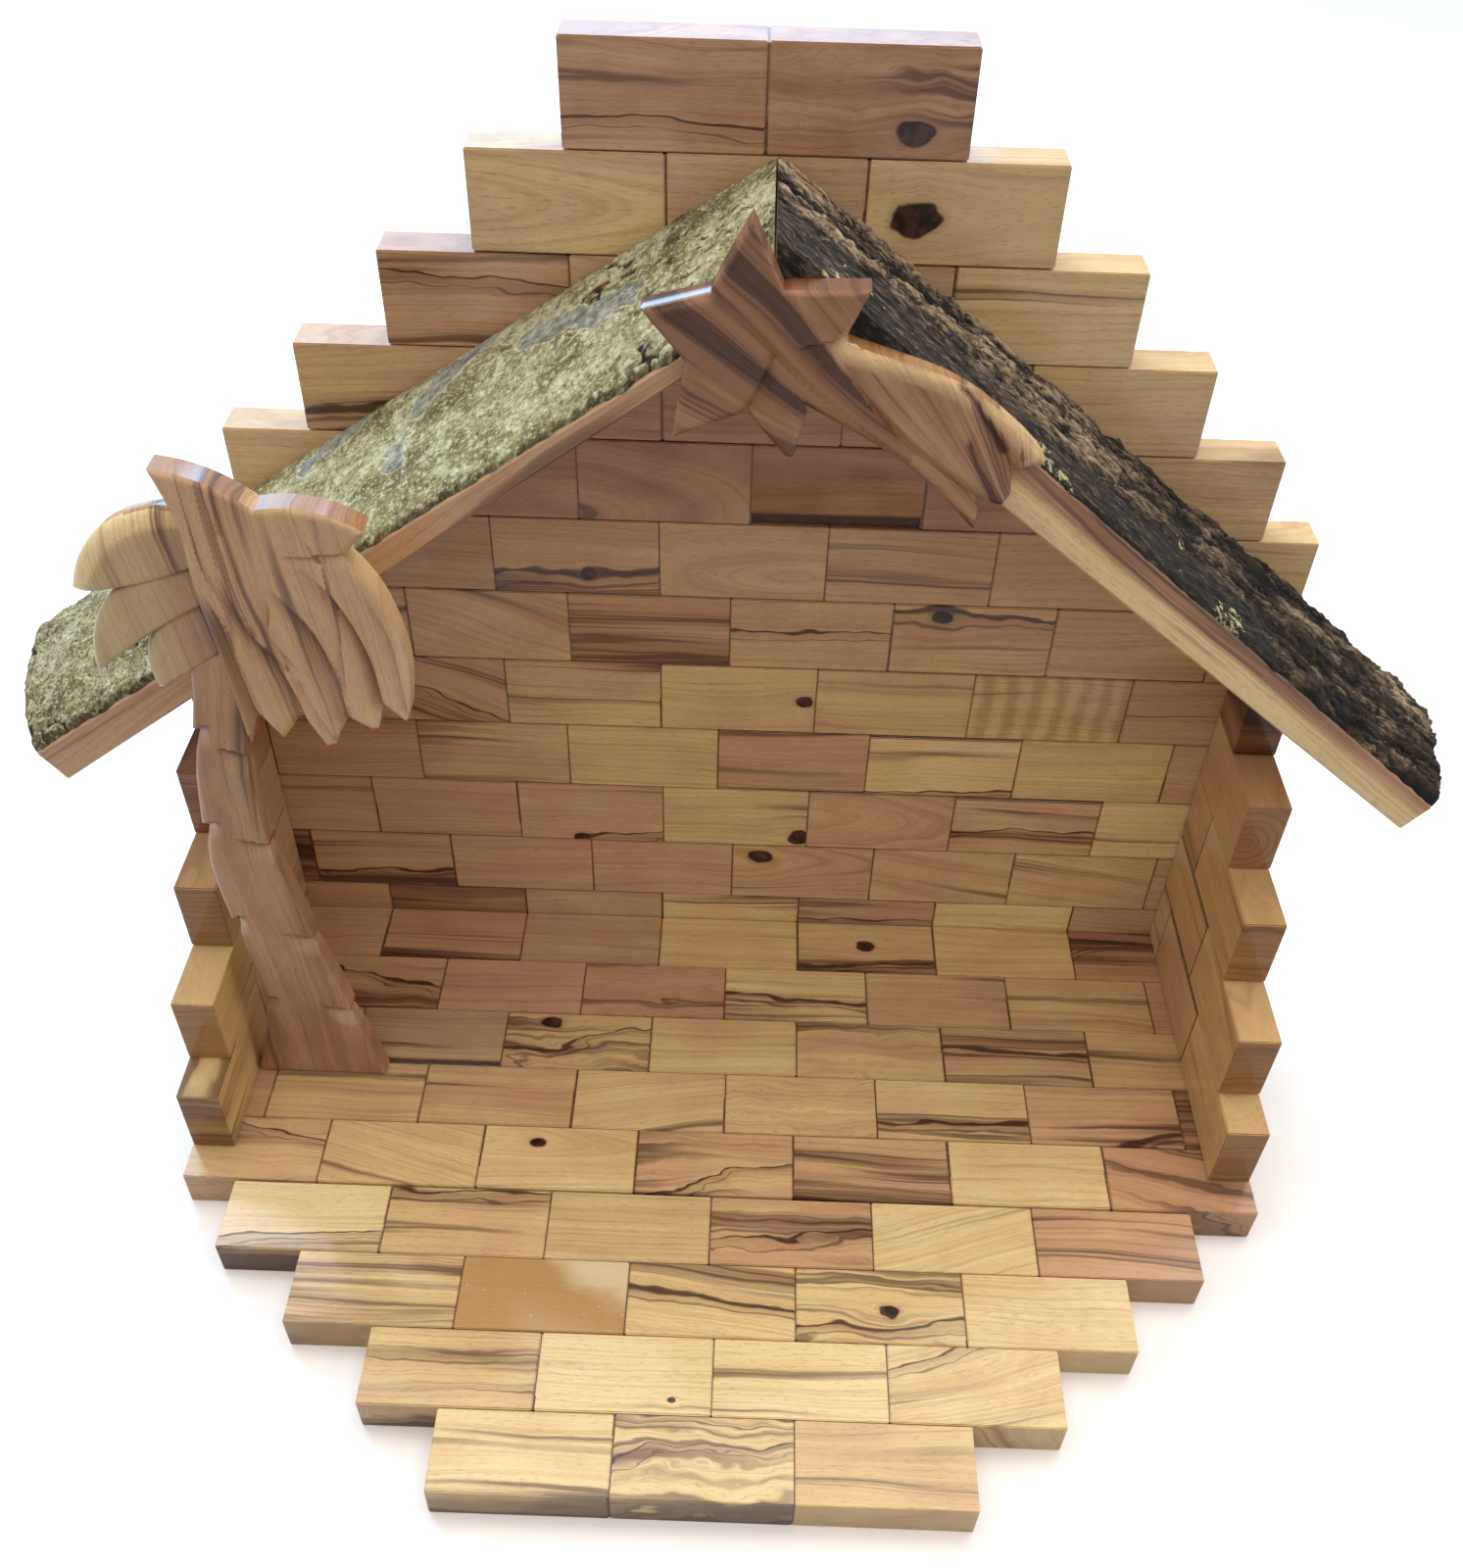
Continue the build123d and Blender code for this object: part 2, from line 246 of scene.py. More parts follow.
def olive_figure():
    """Colour, gloss and relief of olive wood at a place in a piece, in millimetres along, across and in."""
    numbers = [(key.capitalize(), "Float") for key in (*CUT_NUMBERS, "end")]
    vectors = [(key.capitalize(), "Vector") for key in (*CUT_VECTORS, "place")]
    outputs = [("Color", "Color"), ("Roughness", "Float"), ("Height", "Float")]
    tree, n, given, result = new_group("olive_figure", numbers + vectors, outputs)
    along, across, through = n.parts(given["Place"])
    pith_across, pith_through, swirl = n.parts(given["Pith"])
    tilt_across, tilt_through, curl = n.parts(given["Tilt"])
    knot_along, knot_across, knot_size = n.parts(given["Knot"])
    vein_across, vein_slope, vein_width = n.parts(given["Vein"])
    seed = given["Seed"]
    shift = n.join(n.times(seed, 91.7), n.times(seed, 57.3), n.times(seed, 33.1))

    def clouds(scale, detail=2.0):
        """Noise through the piece, at scales along, across and in."""
        return n.noise(n.moved(n.scaled(given["Place"], scale), shift), detail=detail)

    wander = n.less(clouds((0.016, 0.05, 0.05), 1.0), 0.5)
    ripple = n.less(clouds((0.07, 0.16, 0.16)), 0.5)
    across = n.total(across, n.times(wander, 7.0), n.times(ripple, n.total(1.2, n.times(swirl, 12.0))))

    # The grain flows round a knot
    knot_size = n.maths("MAXIMUM", knot_size, 0.01)
    off_along = n.times(n.less(along, knot_along), 0.74)
    off_across = n.less(across, knot_across)
    lumps = n.sway(clouds((0.2, 0.24, 0.24), 1.5), 1.1)
    from_knot = n.total(n.maths("DIVIDE", n.hypot(off_along, off_across), knot_size), lumps)
    nearness = n.maths("EXPONENT", n.times(from_knot, from_knot, -0.14))
    across = n.total(knot_across, n.times(off_across, n.less(1.0, n.times(nearness, 0.7))))

    side = n.less(n.less(across, pith_across), n.times(along, tilt_across))
    ring = n.hypot(side, n.less(n.less(through, pith_through), n.times(along, tilt_through)))

    def lines(per_ring, per_length, move, detail=2.0):
        """Noise drawn out along the rings."""
        layer = n.total(n.times(seed, 17.0), move)
        return n.noise(n.join(n.times(ring, per_ring), n.times(along, per_length), layer), detail=detail)

    def ink(value, width):
        """Thin lines where a drifting value passes its middle."""
        return n.rise(n.maths("ABSOLUTE", n.less(value, 0.5)), width, width * 0.3)

    # Ground colour, growth lines and curl
    broad = lines(0.22, 0.005, 1.0, 1.0)
    fine = lines(1.3, 0.010, 4.0)
    hair = lines(4.4, 0.035, 7.0, 1.0)
    cloud = clouds((0.05, 0.09, 0.09), 3.0)
    tone = n.total(given["Tone"], n.sway(broad, 0.5), n.sway(cloud, 0.5))
    ground = [(0.0, CREAM), (0.25, STRAW), (0.5, TAN), (0.75, ROSY), (1.0, BROWN)]
    paint = Paint(n, n.ramp(tone, ground))
    growth = n.total(n.times(n.rise(fine, 0.44, 0.7), 0.30), n.times(n.rise(hair, 0.48, 0.72), 0.14))
    # End also darkens these lines; on wall tops that part is painted shade
    paint.stain(LINE_TINT, growth, n.total(1.0, given["End"]))
    waves = n.total(n.times(along, 1.05), n.times(ripple, 3.0), n.times(wander, 8.0), n.times(across, 0.06))
    paint.stain(CURL_SHADE, curl, n.rise(n.maths("SINE", waves), -1.0, 1.0))

    # Dark heart: plum clouds, drawn lines and solid streaks
    smoke = lines(0.15, 0.007, 11.0, 1.5)
    streak = n.total(smoke, n.sway(given["Heart"], 0.42))
    paint.over(PLUM, n.rise(n.total(streak, n.sway(fine, 0.12)), 0.49, 0.60), 0.55)
    gate = n.rise(streak, 0.40, 0.50)
    coarse_lines = lines(0.26, 0.005, 21.0, 2.0)
    close_lines = lines(0.62, 0.008, 31.0, 1.0)
    drawn = n.maths("MAXIMUM", n.times(ink(coarse_lines, 0.05), 0.6), n.times(ink(close_lines, 0.06), 0.32))
    paint.over(PLUM, ink(coarse_lines, 0.11), gate, 0.35)
    paint.over(HEART_DARK, drawn, gate)
    paint.over(HEART_DARK, n.rise(n.total(streak, n.sway(fine, 0.06)), 0.66, 0.70), 0.75)

    # One dark vein with a thinner twin and a shaded side
    off_vein = n.less(n.less(across, vein_across), n.times(along, vein_slope))
    off_vein = n.total(off_vein, n.times(ripple, 4.0))
    breadth = n.maths("MAXIMUM", n.times(vein_width, n.rise(cloud, 0.35, 0.65, 0.45, 1.5)), 0.001)
    vein = n.rise(n.maths("ABSOLUTE", off_vein), breadth, n.times(breadth, 0.35))
    off_twin = n.total(off_vein, 2.3, n.times(wander, 5.0))
    twin = n.rise(n.maths("ABSOLUTE", off_twin), n.times(breadth, 0.6), n.times(breadth, 0.15))
    has_vein = n.rise(vein_width, 0.0, 0.4)
    paint.over(PLUM, n.rise(off_vein, -5.0, 0.0), n.rise(off_vein, 0.4, 0.0), has_vein, 0.38)
    paint.over(HEART_DARK, n.maths("MAXIMUM", n.times(vein, 0.88), n.times(twin, 0.6)))

    tick_place = n.join(n.times(along, 0.42), n.times(side, 3.6), n.times(through, 3.6))
    pore = n.rise(n.noise(n.moved(tick_place, shift), detail=1.0), 0.58, 0.70)
    paint.over(PLUM, pore, 0.24)

    # The knot itself
    grit = clouds((0.34, 0.34, 0.34))
    hole = n.rise(from_knot, 1.0, 0.9)
    paint.over(PLUM, n.rise(from_knot, 1.6, 1.0), 0.3)
    paint.over(KNOT_RIM, n.rise(from_knot, 1.12, 0.98), 0.9)
    paint.over(n.mix(n.rise(grit, 0.42, 0.62), KNOT_DARK, KNOT_RED), hole, 0.95)

    # Poured resin, bleached wood (grey on the palm is painted cool light), end grain, and on wall tops a
    # share of the end-grain tint that is painted shade
    bubble = n.rise(n.cells(given["Place"], 0.42), 0.11, 0.05)
    corner = n.total(n.times(along, 0.06), n.times(across, 0.10), n.sway(cloud, 2.0))
    poured = n.mix(n.maths("MAXIMUM", n.rise(corner, 0.8, 1.7), bubble), AMBER, AMBER_PALE)
    paint.over(poured, given["Resin"], 0.9)
    paint.stain(GREYED, given["Grey"])
    # On wall tops End is a part share, and the tint it lays there is painted shade
    paint.stain(END_AND_TOP_SHADE_TINT, given["End"])
    n.put(result["Color"], paint.colour)
    n.put(result["Roughness"], n.total(0.24, n.times(cloud, 0.16), n.times(given["End"], 0.18)))
    n.put(result["Height"], n.total(n.times(fine, 0.5), n.times(pore, -0.7), n.times(hole, -0.6)))
    return tree


OLIVE = olive_figure()


def lacquered(name, bump, coat, gloss, end_coat=None):
    """Lacquered olive wood, cut as the piece's own attributes say; end grain may be coated thicker."""
    material, n, shader = new_finish(name)
    end = n.attribute("end_grain_and_top_shade")["Fac"]
    numbers = {key.capitalize(): n.attribute(key)["Fac"] for key in CUT_NUMBERS}
    vectors = {key.capitalize(): n.attribute(key)["Vector"] for key in CUT_VECTORS}
    wood = n.group(OLIVE, Place=n.attribute("grain_at")["Vector"], End=end, **numbers, **vectors)
    n.put(shader.inputs["Base Color"], wood["Color"])
    n.put(shader.inputs["Roughness"], wood["Roughness"])
    n.emboss(shader, wood["Height"], bump, GRAIN_DEPTH)
    shader.inputs["Specular IOR Level"].default_value = gloss
    shader.inputs["Coat Roughness"].default_value = LACQUER_ROUGHNESS
    shader.inputs["Coat Weight"].default_value = coat
    if end_coat:
        n.put(shader.inputs["Coat Weight"], n.rise(end, 0.0, 1.0, coat, end_coat))
    return material


def glue_finish():
    material, n, shader = new_finish("dried_glue")
    cloud = n.noise(n.add("ShaderNodeTexCoord").outputs["Object"], 900.0)
    ground = [(0.3, linear(74, 49, 33)), (0.7, linear(128, 90, 60))]
    n.put(shader.inputs["Base Color"], n.ramp(cloud, ground))
    n.put(shader.inputs["Roughness"], n.rise(cloud, 0.2, 0.8, 0.35, 0.6))
    return material


def wane_finish():
    """Dark bark and rot left on a brick that was sawn at the edge of its log."""
    material, n, shader = new_finish("wane")
    place = n.scaled(n.add("ShaderNodeTexCoord").outputs["Object"], (180.0, 420.0, 420.0))
    streaks = n.noise(place, detail=4.0, roughness=0.65)
    ground = [(0.32, linear(26, 17, 13)), (0.52, linear(66, 42, 30)), (0.72, linear(112, 76, 52))]
    n.put(shader.inputs["Base Color"], n.ramp(streaks, ground))
    n.put(shader.inputs["Roughness"], n.rise(streaks, 0.3, 0.7, 0.5, 0.85))
    n.emboss(shader, streaks, 0.8, 0.5 * MM)
    return material


GLUE = glue_finish()
WANE = wane_finish()
GLUE_SLOT, WANE_SLOT = 1, 2
SQUARE_ON = 0.8
ON_PLANE = 0.98


# Pieces put together from several shapes

X, Y, Z = 0, 1, 2
STRAIGHT = (-200.0, 0.0, 0.0)
NOWHERE = (0.0, 0.0, 0.0)


class Cut:
    """How a piece of wood was cut. Lengths are in millimetres from the middle of the face that shows.

    tone runs from cream, 0, to brown, 1, and grey is how far the wood is bleached; on the palm's trunk and
    fronds grey is painted cool light. heart is how much dark heart shows, and lean how that changes along,
    across and in. pith is where the tree's middle lies across behind the face, and how much the grain
    swirls. tilt is how the grain runs off across and into the face, and how curly it is. knot is a place
    and a size. vein is a dark line's place across, its slope and its half breadth. resin is how far poured
    resin hides the wood. wane is how much of the low and the high edge is lost to dark bark.
    """

    def __init__(self, tone=0.45, grey=0.0, heart=0.1, lean=NOWHERE, pith=STRAIGHT, tilt=NOWHERE,
                 knot=NOWHERE, vein=NOWHERE, resin=0.0, wane=(0.0, 0.0), seed=0.0):
        self.numbers = {"seed": seed, "tone": tone, "grey": grey, "heart": heart, "resin": resin}
        self.vectors = {"pith": pith, "tilt": tilt, "knot": knot, "vein": vein}
        self.lean = lean
        self.wane = wane

    def values(self, grain):
        """The numbers that the wood finish reads at a place in the grain."""
        found = dict(self.numbers)
        found["heart"] += sum(change * place for change, place in zip(self.lean, grain))
        return found

    def attributes(self, grain):
        """The numbers and vectors that the wood finish reads at all of a piece's places in the grain."""
        rows = [self.values(place) for place in grain]
        numbers = {key: [row[key] for row in rows] for key in CUT_NUMBERS}
        vectors = {key: [value] * len(grain) for key, value in self.vectors.items()}
        return numbers, {"grain_at": grain, **vectors}


def mesh_piece(name, places, faces, numbers, vectors, materials, smooth_angle):
    """A linked object with smooth faces and the given attributes at its vertices."""
    mesh = bpy.data.meshes.new(name)
    mesh.from_pydata(places, [], faces)
    outward = bmesh.new()
    outward.from_mesh(mesh)
    bmesh.ops.recalc_face_normals(outward, faces=outward.faces)
    outward.to_mesh(mesh)
    outward.free()
    for key, values in numbers.items():
        mesh.attributes.new(key, "FLOAT", "POINT").data.foreach_set("value", values)
    for key, values in vectors.items():
        flat = [c for vector in values for c in vector]
        mesh.attributes.new(key, "FLOAT_VECTOR", "POINT").data.foreach_set("vector", flat)
    for material in materials:
        mesh.materials.append(material)
    mesh.update()
    mesh.shade_smooth()
    mesh.set_sharp_from_angle(angle=math.radians(smooth_angle))
    piece = bpy.data.objects.new(name, mesh)
    bpy.context.scene.collection.objects.link(piece)
    return piece


class Pile:
    """Vertices, faces and attributes of a piece that is put together from several shapes."""

    def __init__(self):
        self.places = []
        self.faces = []
        self.slots = []
        self.end_grain_and_top_shade = []
        self.numbers = {key: [] for key in CUT_NUMBERS}
        self.vectors = {key: [] for key in ("grain_at", *CUT_VECTORS)}

    def take(self, shape, grain_place, cut, end_axis=None, slot=0, wane_planes=(), shade_and_dull_top=0.0):
        """Adds a small mesh; grain_place turns a place into millimetres along, across and in the grain."""
        first = len(self.places)
        shape.verts.index_update()
        shape.normal_update()
        self.places += [vert.co.copy() for vert in shape.verts]
        numbers, vectors = cut.attributes([grain_place(place) for place in self.places[first:]])
        for store, found in ((self.numbers, numbers), (self.vectors, vectors)):
            for key, values in found.items():
                store[key] += values
        for face in shape.faces:
            self.faces.append([first + vert.index for vert in face.verts])
            at_end = end_axis is not None and abs(face.normal[end_axis]) > SQUARE_ON
            # Upward faces take a share of the end-grain look: its tint is painted shade on the lit tops,
            # its roughness is real
            self.end_grain_and_top_shade.append(1.0 if at_end else shade_and_dull_top * (face.normal.z > SQUARE_ON))
            is_wane = any(face.normal.dot(normal) > ON_PLANE for point, normal in wane_planes)
            self.slots.append(WANE_SLOT if is_wane else slot)
        shape.free()

    def finished(self, name, materials, smooth_angle):
        piece = mesh_piece(
            name, self.places, self.faces, self.numbers, self.vectors, materials, smooth_angle)
        piece.data.attributes.new("end_grain_and_top_shade", "FLOAT", "FACE").data.foreach_set("value", self.end_grain_and_top_shade)
        piece.data.polygons.foreach_set("material_index", self.slots)
        return piece


def dressed(piece, node):
    """A piece that stands for a solid of the same part, and stays with the stable."""
    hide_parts(node)
    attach(piece, "root")
    return piece


# Bricks

EASE = 0.22 * MM
EASE_VARIES = (0.7, 1.4)
OUT_OF_TRUE = 0.12 * MM
GLUE_RECESS = 0.35 * MM
GLUE_LAP = 0.25 * MM
WANE_SLOPE = 0.35
# How much of the end-grain look the wall tops take: painted shade that tones them down, and more roughness
TOP_SHADE_AND_DULL = 0.3
BRICK_LONG, BRICK_WIDE = 40, 20
CHANCE_TONES = (0.3, 0.65)
CHANCE_HEARTS = (0.0, 0.05, 0.1, 0.25)
CHANCE_SLANT = 0.06
CHANCE_SEEDS = 40
BRICK_ANGLE = 35.0

# How a brick lies: the axes along, across and into the face that shows, and whether that is the high face
ON_EDGE = (X, Z, Y, False)
LYING_FLAT = (X, Y, Z, True)


def islands(mesh):
    """The separate solids of a mesh, each as its lowest and highest corner."""
    joined = bmesh.new()
    joined.from_mesh(mesh)
    bmesh.ops.remove_doubles(joined, verts=joined.verts, dist=1e-6)
    left = set(joined.verts)
    boxes = []
    while left:
        reached = [left.pop()]
        for vert in reached:
            for edge in vert.link_edges:
                other = edge.other_vert(vert)
                if other in left:
                    left.remove(other)
                    reached.append(other)
        places = [vert.co for vert in reached]
        boxes.append(tuple(Vector(f(p[axis] for p in places) for axis in range(3)) for f in (min, max)))
    joined.free()
    return sorted(boxes, key=lambda box: tuple(box[0]))


def box_shape(low, high):
    shape = bmesh.new()
    bmesh.ops.create_cube(shape, size=1.0)
    for vert in shape.verts:
        vert.co = Vector(low[a] if vert.co[a] < 0 else high[a] for a in range(3))
    return shape


def sawn_brick(low, high, rng, planes):
    """One brick as a small mesh, a little out of true and eased at its edges; planes cut it further."""
    shape = box_shape(low, high)
    middle = (low + high) / 2
    for vert in shape.verts:
        for axis in range(3):
            slack = rng.uniform(0.0, OUT_OF_TRUE)
            vert.co[axis] += slack if vert.co[axis] < middle[axis] else -slack
    for point, normal in planes:
        everything = shape.verts[:] + shape.edges[:] + shape.faces[:]
        sawn = bmesh.ops.bisect_plane(
            shape, geom=everything, plane_co=point, plane_no=normal, clear_outer=True)
        rim = [e for e in sawn["geom_cut"] if isinstance(e, bmesh.types.BMEdge)]
        if rim:
            bmesh.ops.contextual_create(shape, geom=rim)
    bmesh.ops.recalc_face_normals(shape, faces=shape.faces)
    ease = EASE * rng.uniform(*EASE_VARIES)
    bmesh.ops.bevel(shape, geom=shape.edges[:], offset=ease, segments=2, affect="EDGES")
    return shape


def chance_cut(rng):
    """A brick with nothing special about it."""
    slant = rng.uniform(-CHANCE_SLANT, CHANCE_SLANT)
    tone = rng.uniform(*CHANCE_TONES)
    return Cut(tone, heart=rng.choice(CHANCE_HEARTS), tilt=(slant, 0.0, 0.0))


def cut(tone, heart=0.0, low=0.0, high=0.0, left=0.0, right=0.0, slant=0.0, arch=None, swirl=0.0, curl=0.0,
        deep=0.0, **others):
    """A brick's cut in words: more heart at an edge or deep down, slanting lines, or an arch."""
    lean = ((right - left) / BRICK_LONG, (high - low) / BRICK_WIDE, deep)
    middle = heart + (low + high + left + right) / 2
    across, behind, into = arch or (STRAIGHT[0], STRAIGHT[1], 0.0)
    pith, tilt = (across, behind, swirl), (slant, into, curl)
    return Cut(tone, heart=middle, lean=lean, pith=pith, tilt=tilt, **others)


def wane_planes(cut, low, high, lay):
    """Planes that take the low or the high edge off the face that shows, where the cut has wane there."""
    _, across_axis, face_axis, face_at_high = lay
    outward = Vector()
    outward[face_axis] = 1 if face_at_high else -1
    planes = []
    for amount, corner, sign in ((cut.wane[0], low, -1), (cut.wane[1], high, 1)):
        if amount:
            point = corner.copy()
            point[face_axis] = high[face_axis] if face_at_high else low[face_axis]
            point[across_axis] -= sign * amount * MM
            towards = outward.copy()
            towards[across_axis] = sign * WANE_SLOPE
            planes.append((point, towards.normalized()))
    return planes


def in_grain(low, high, lay):
    """A function from a place to millimetres along, across and in from the face that shows."""
    long_axis, across_axis, face_axis, face_at_high = lay
    middle = (low + high) / 2

    def place(point):
        depth = high[face_axis] - point[face_axis] if face_at_high else point[face_axis] - low[face_axis]
        along, across = (point[axis] - middle[axis] for axis in (long_axis, across_axis))
        return (along / MM, across / MM, depth / MM)

    return place


def glue_between(boxes, long_axis):
    """Glue that fills the joints of a course, kept back from the faces."""
    recess = Vector((GLUE_RECESS, GLUE_RECESS, GLUE_RECESS))
    seams = []
    for (low, high), (next_low, _) in zip(boxes, boxes[1:]):
        start, stop = low + recess, high - recess
        start[long_axis] = high[long_axis] - GLUE_LAP
        stop[long_axis] = next_low[long_axis] + GLUE_LAP
        seams.append(box_shape(start, stop))
    return seams


def brick_course(node, material, lay, cuts, planes=(), shade_and_dull_top=0.0):
    """A course of bricks in place of the solid one, each brick with its own cut, and glue in the joints."""
    rng = random.Random(node)
    pile = Pile()
    boxes = islands(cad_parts[node].data)
    for order, (low, high) in enumerate(boxes):
        chosen = chance_cut(rng)
        chance_seed = rng.uniform(0, CHANCE_SEEDS)
        if order < len(cuts):
            chosen = cuts[order]
        chosen.numbers["seed"] = chosen.numbers["seed"] or chance_seed
        lost = wane_planes(chosen, low, high, lay)
        shape = sawn_brick(low, high, rng, [*planes, *lost])
        pile.take(shape, in_grain(low, high, lay), chosen, lay[0], wane_planes=lost, shade_and_dull_top=shade_and_dull_top)
    for seam in glue_between(boxes, lay[0]):
        pile.take(seam, lambda point: NOWHERE, Cut(), slot=GLUE_SLOT)
    piece = pile.finished("dressed_" + node, [material, GLUE, WANE], BRICK_ANGLE)
    return dressed(piece, node)


WALL_WOOD = lacquered("wall_olive", 0.35, 0.35, 0.15)
FLOOR_WOOD = lacquered("floor_olive", 0.35, 0.35, 0.15)

# Bricks from left to right in each course; courses of the wall from the ground up, others from the back
WALL_CUTS = [
    [cut(0.6), cut(0.85, 0.6), cut(0.5, grey=0.3), cut(0.15, right=0.4),
     cut(0.7, 0.2, vein=(3, 0.03, 0.35)), cut(0.1), cut(0.5)],
    [cut(0.95, 0.7), cut(0.6, 0.1, low=0.5, vein=(-5, 0.04, 0.7)), cut(0.58), cut(0.55),
     cut(0.5, arch=(4, 6, 0.1), knot=(-12, 5.5, 2.4)), cut(0.45, slant=-0.18), cut(0.35, slant=-0.15),
     cut(0.5)],
    [cut(0.6), cut(0.6), cut(0.5, 0.1, knot=(-3, -8, 1.7), vein=(-8, 0.1, 0.5)),
     cut(0.36, right=0.1, low=0.15, knot=(18, -6, 2.2)), cut(0.52, arch=(0, 5, 0.2), swirl=0.3),
     cut(0.48, low=0.5, wane=(0, 0.9), vein=(-2.5, 0.05, 0.5)), cut(0.12)],
    [cut(0.5), cut(0.62), cut(0.42, left=0.2, grey=0.15), cut(0.32), cut(0.55, wane=(0.9, 0)),
     cut(0.22, 0.05, low=0.1, wane=(0, 1.0), vein=(-9.4, 0.04, 0.45)), cut(0.26), cut(0.5)],
    [cut(0.5), cut(0.6, 0.3, slant=-0.38, vein=(-2, -0.38, 0.5)), cut(0.42),
     cut(0.36, 0.1, knot=(17, 0, 1.5)), cut(0.45), cut(0.4, curl=0.5), cut(0.55, low=0.3)],
    [cut(0.5), cut(0.5), cut(0.52, slant=-0.3), cut(0.7, 0.36, low=0.15),
     cut(0.46, low=0.2, vein=(1.5, -0.02, 0.4)),
     cut(0.42, high=0.2, knot=(-8, 7, 1.9), vein=(7.5, -0.05, 0.8)), cut(0.5), cut(0.45)],
    [cut(0.4), cut(0.55, grey=0.3), cut(0.52, 0.1, low=0.5, knot=(3, -3, 1.5), vein=(-3, 0.04, 0.9)),
     cut(0.44, arch=(-3, 3, -0.25)), cut(0.48, 0.25), cut(0.48), cut(0.3)],
    # The middle bricks of courses 8 and 9 lie in the roof's shade, and their darker tones are painted shade
    [cut(0.4), cut(0.85), cut(0.8, arch=(-8, 10, 0.35)), cut(0.85, wane=(3.4, 0)), cut(0.9), cut(0.35)],
    [cut(0.5, 0.1, low=0.35, slant=0.12, vein=(-3, 0.14, 1.0)), cut(0.75), cut(0.8), cut(0.75), cut(0.36)],
    [cut(0.7, 0.22, high=0.15, vein=(4, -0.06, 0.35)), cut(0.55), cut(0.5), cut(0.24)],
    [cut(0.34, arch=(0, 6, 0.12)), cut(0.5), cut(0.26, arch=(0, 20, 0.0), knot=(-9.6, 0, 3.5))],
    [cut(0.74, 0.1, low=0.15, vein=(-4.5, -0.05, 0.4)),
     cut(0.82, right=0.35, swirl=0.3, knot=(9, -5, 2.6))]
]
FLOOR_CUTS = [
    [cut(0.6), cut(0.72, low=0.6), cut(0.5, grey=0.3), cut(0.28),
     cut(0.3, low=0.45, knot=(0, 0.5, 2.0), vein=(-7.5, 0.03, 1.0)), cut(0.28),
     cut(0.64, 0.4, vein=(1, 0.08, 0.6))],
    [cut(0.6), cut(0.6, 0.3, swirl=0.3, vein=(2, -0.2, 0.6)), cut(0.6), cut(0.7, 0.12, swirl=0.6),
     cut(0.18, 0.1, low=0.35, vein=(-1.5, -0.06, 0.9)), cut(0.48, right=0.3), cut(0.34, swirl=0.2),
     cut(0.6)],
    [cut(0.5), cut(0.48, grey=0.4, wane=(1.6, 0)),
     cut(0.4, 0.34, swirl=0.5, knot=(-8, 6, 2.0), vein=(0, 0.28, 0.8)), cut(0.24), cut(0.4, swirl=0.5),
     cut(0.46, 0.28, high=0.1, vein=(2, -0.05, 1.1)), cut(0.34)],
    [cut(0.5), cut(0.32), cut(0.48), cut(0.32, 0.1, slant=0.2), cut(0.32, swirl=0.5),
     cut(0.24, low=0.5, vein=(-4, 0.03, 0.7)), cut(0.48, low=0.2, right=0.3, vein=(-10, 0.2, 1.0)),
     cut(0.8, 0.5)],
    [cut(0.42, high=0.3, swirl=0.3, vein=(6, -0.15, 0.5)), cut(0.3, slant=-0.3),
     cut(0.22, arch=(6, 4, 0.1), knot=(-6, 6, 1.5)),
     cut(0.48, 0.2, left=0.4, swirl=0.3, vein=(-6, 0.25, 0.7)), cut(0.46, low=0.95), cut(0.2),
     cut(0.66, 0.35, slant=-0.2, swirl=0.3)]
]
APRON_CUTS = [
    [cut(0.05, low=0.3, vein=(-5, 0.02, 0.4), deep=0.16), cut(0.36, high=0.2, vein=(9.4, 0.0, 0.6)),
     cut(0.22, grey=0.2), cut(0.5, 0.42, swirl=0.3, vein=(-1, 0.08, 0.6)), cut(0.1, slant=0.35),
     cut(0.56, 0.28)],
    [cut(0.24, 0.22, low=0.1), cut(0.12, resin=1.0),
     cut(0.2, high=0.4, slant=-0.12, vein=(2, -0.13, 0.7)),
     cut(0.2, 0.55, swirl=0.25, knot=(2, 0, 1.7), vein=(-4, 0.05, 0.8)), cut(0.12)],
    [cut(0.34, 0.2, swirl=0.2, deep=0.13), cut(-0.08, 0.05, low=0.1, knot=(11, -6, 0.6)),
     cut(-0.02, left=0.2), cut(0.18, left=0.15, slant=0.25, vein=(11, 0.35, 0.6))],
    [cut(0.14, 0.22, deep=0.06), cut(0.12, 0.2, high=0.36, swirl=0.6, vein=(1, 0.1, 0.5), deep=0.04),
     cut(0.34, 0.22)]
]

# Side walls from the ground up, each course from its front end back
LEFT_CUTS = [
    [cut(0.3, left=0.6, resin=0.2), cut(0.4)],
    [cut(0.3, resin=0.25), cut(0.4)],
    [cut(0.42, grey=0.3), cut(0.5)],
    [cut(0.8, 0.2)],
    [cut(0.7)]
]
RIGHT_CUTS = [
    [cut(0.36, resin=0.3, slant=0.1), cut(0.5, resin=0.3, wane=(0, 1.4))],
    [cut(0.34, resin=0.3), cut(0.4, resin=0.4, wane=(0, 1.2))],
    [cut(0.4, resin=0.4), cut(0.5, 0.2, resin=0.3)],
    [cut(0.5, resin=0.3, arch=(-2, 4, 0.1))],
    [cut(0.95, 0.8)]
]

for course, cuts in enumerate(WALL_CUTS, 1):
    node = f"back_wall_course_{course:02d}"
    brick_course(node, WALL_WOOD, ON_EDGE, cuts, shade_and_dull_top=TOP_SHADE_AND_DULL)
for name, courses in (("floor", FLOOR_CUTS), ("apron", APRON_CUTS)):
    for course, cuts in enumerate(courses, 1):
        brick_course(f"{name}_course_{course}", FLOOR_WOOD, LYING_FLAT, cuts)


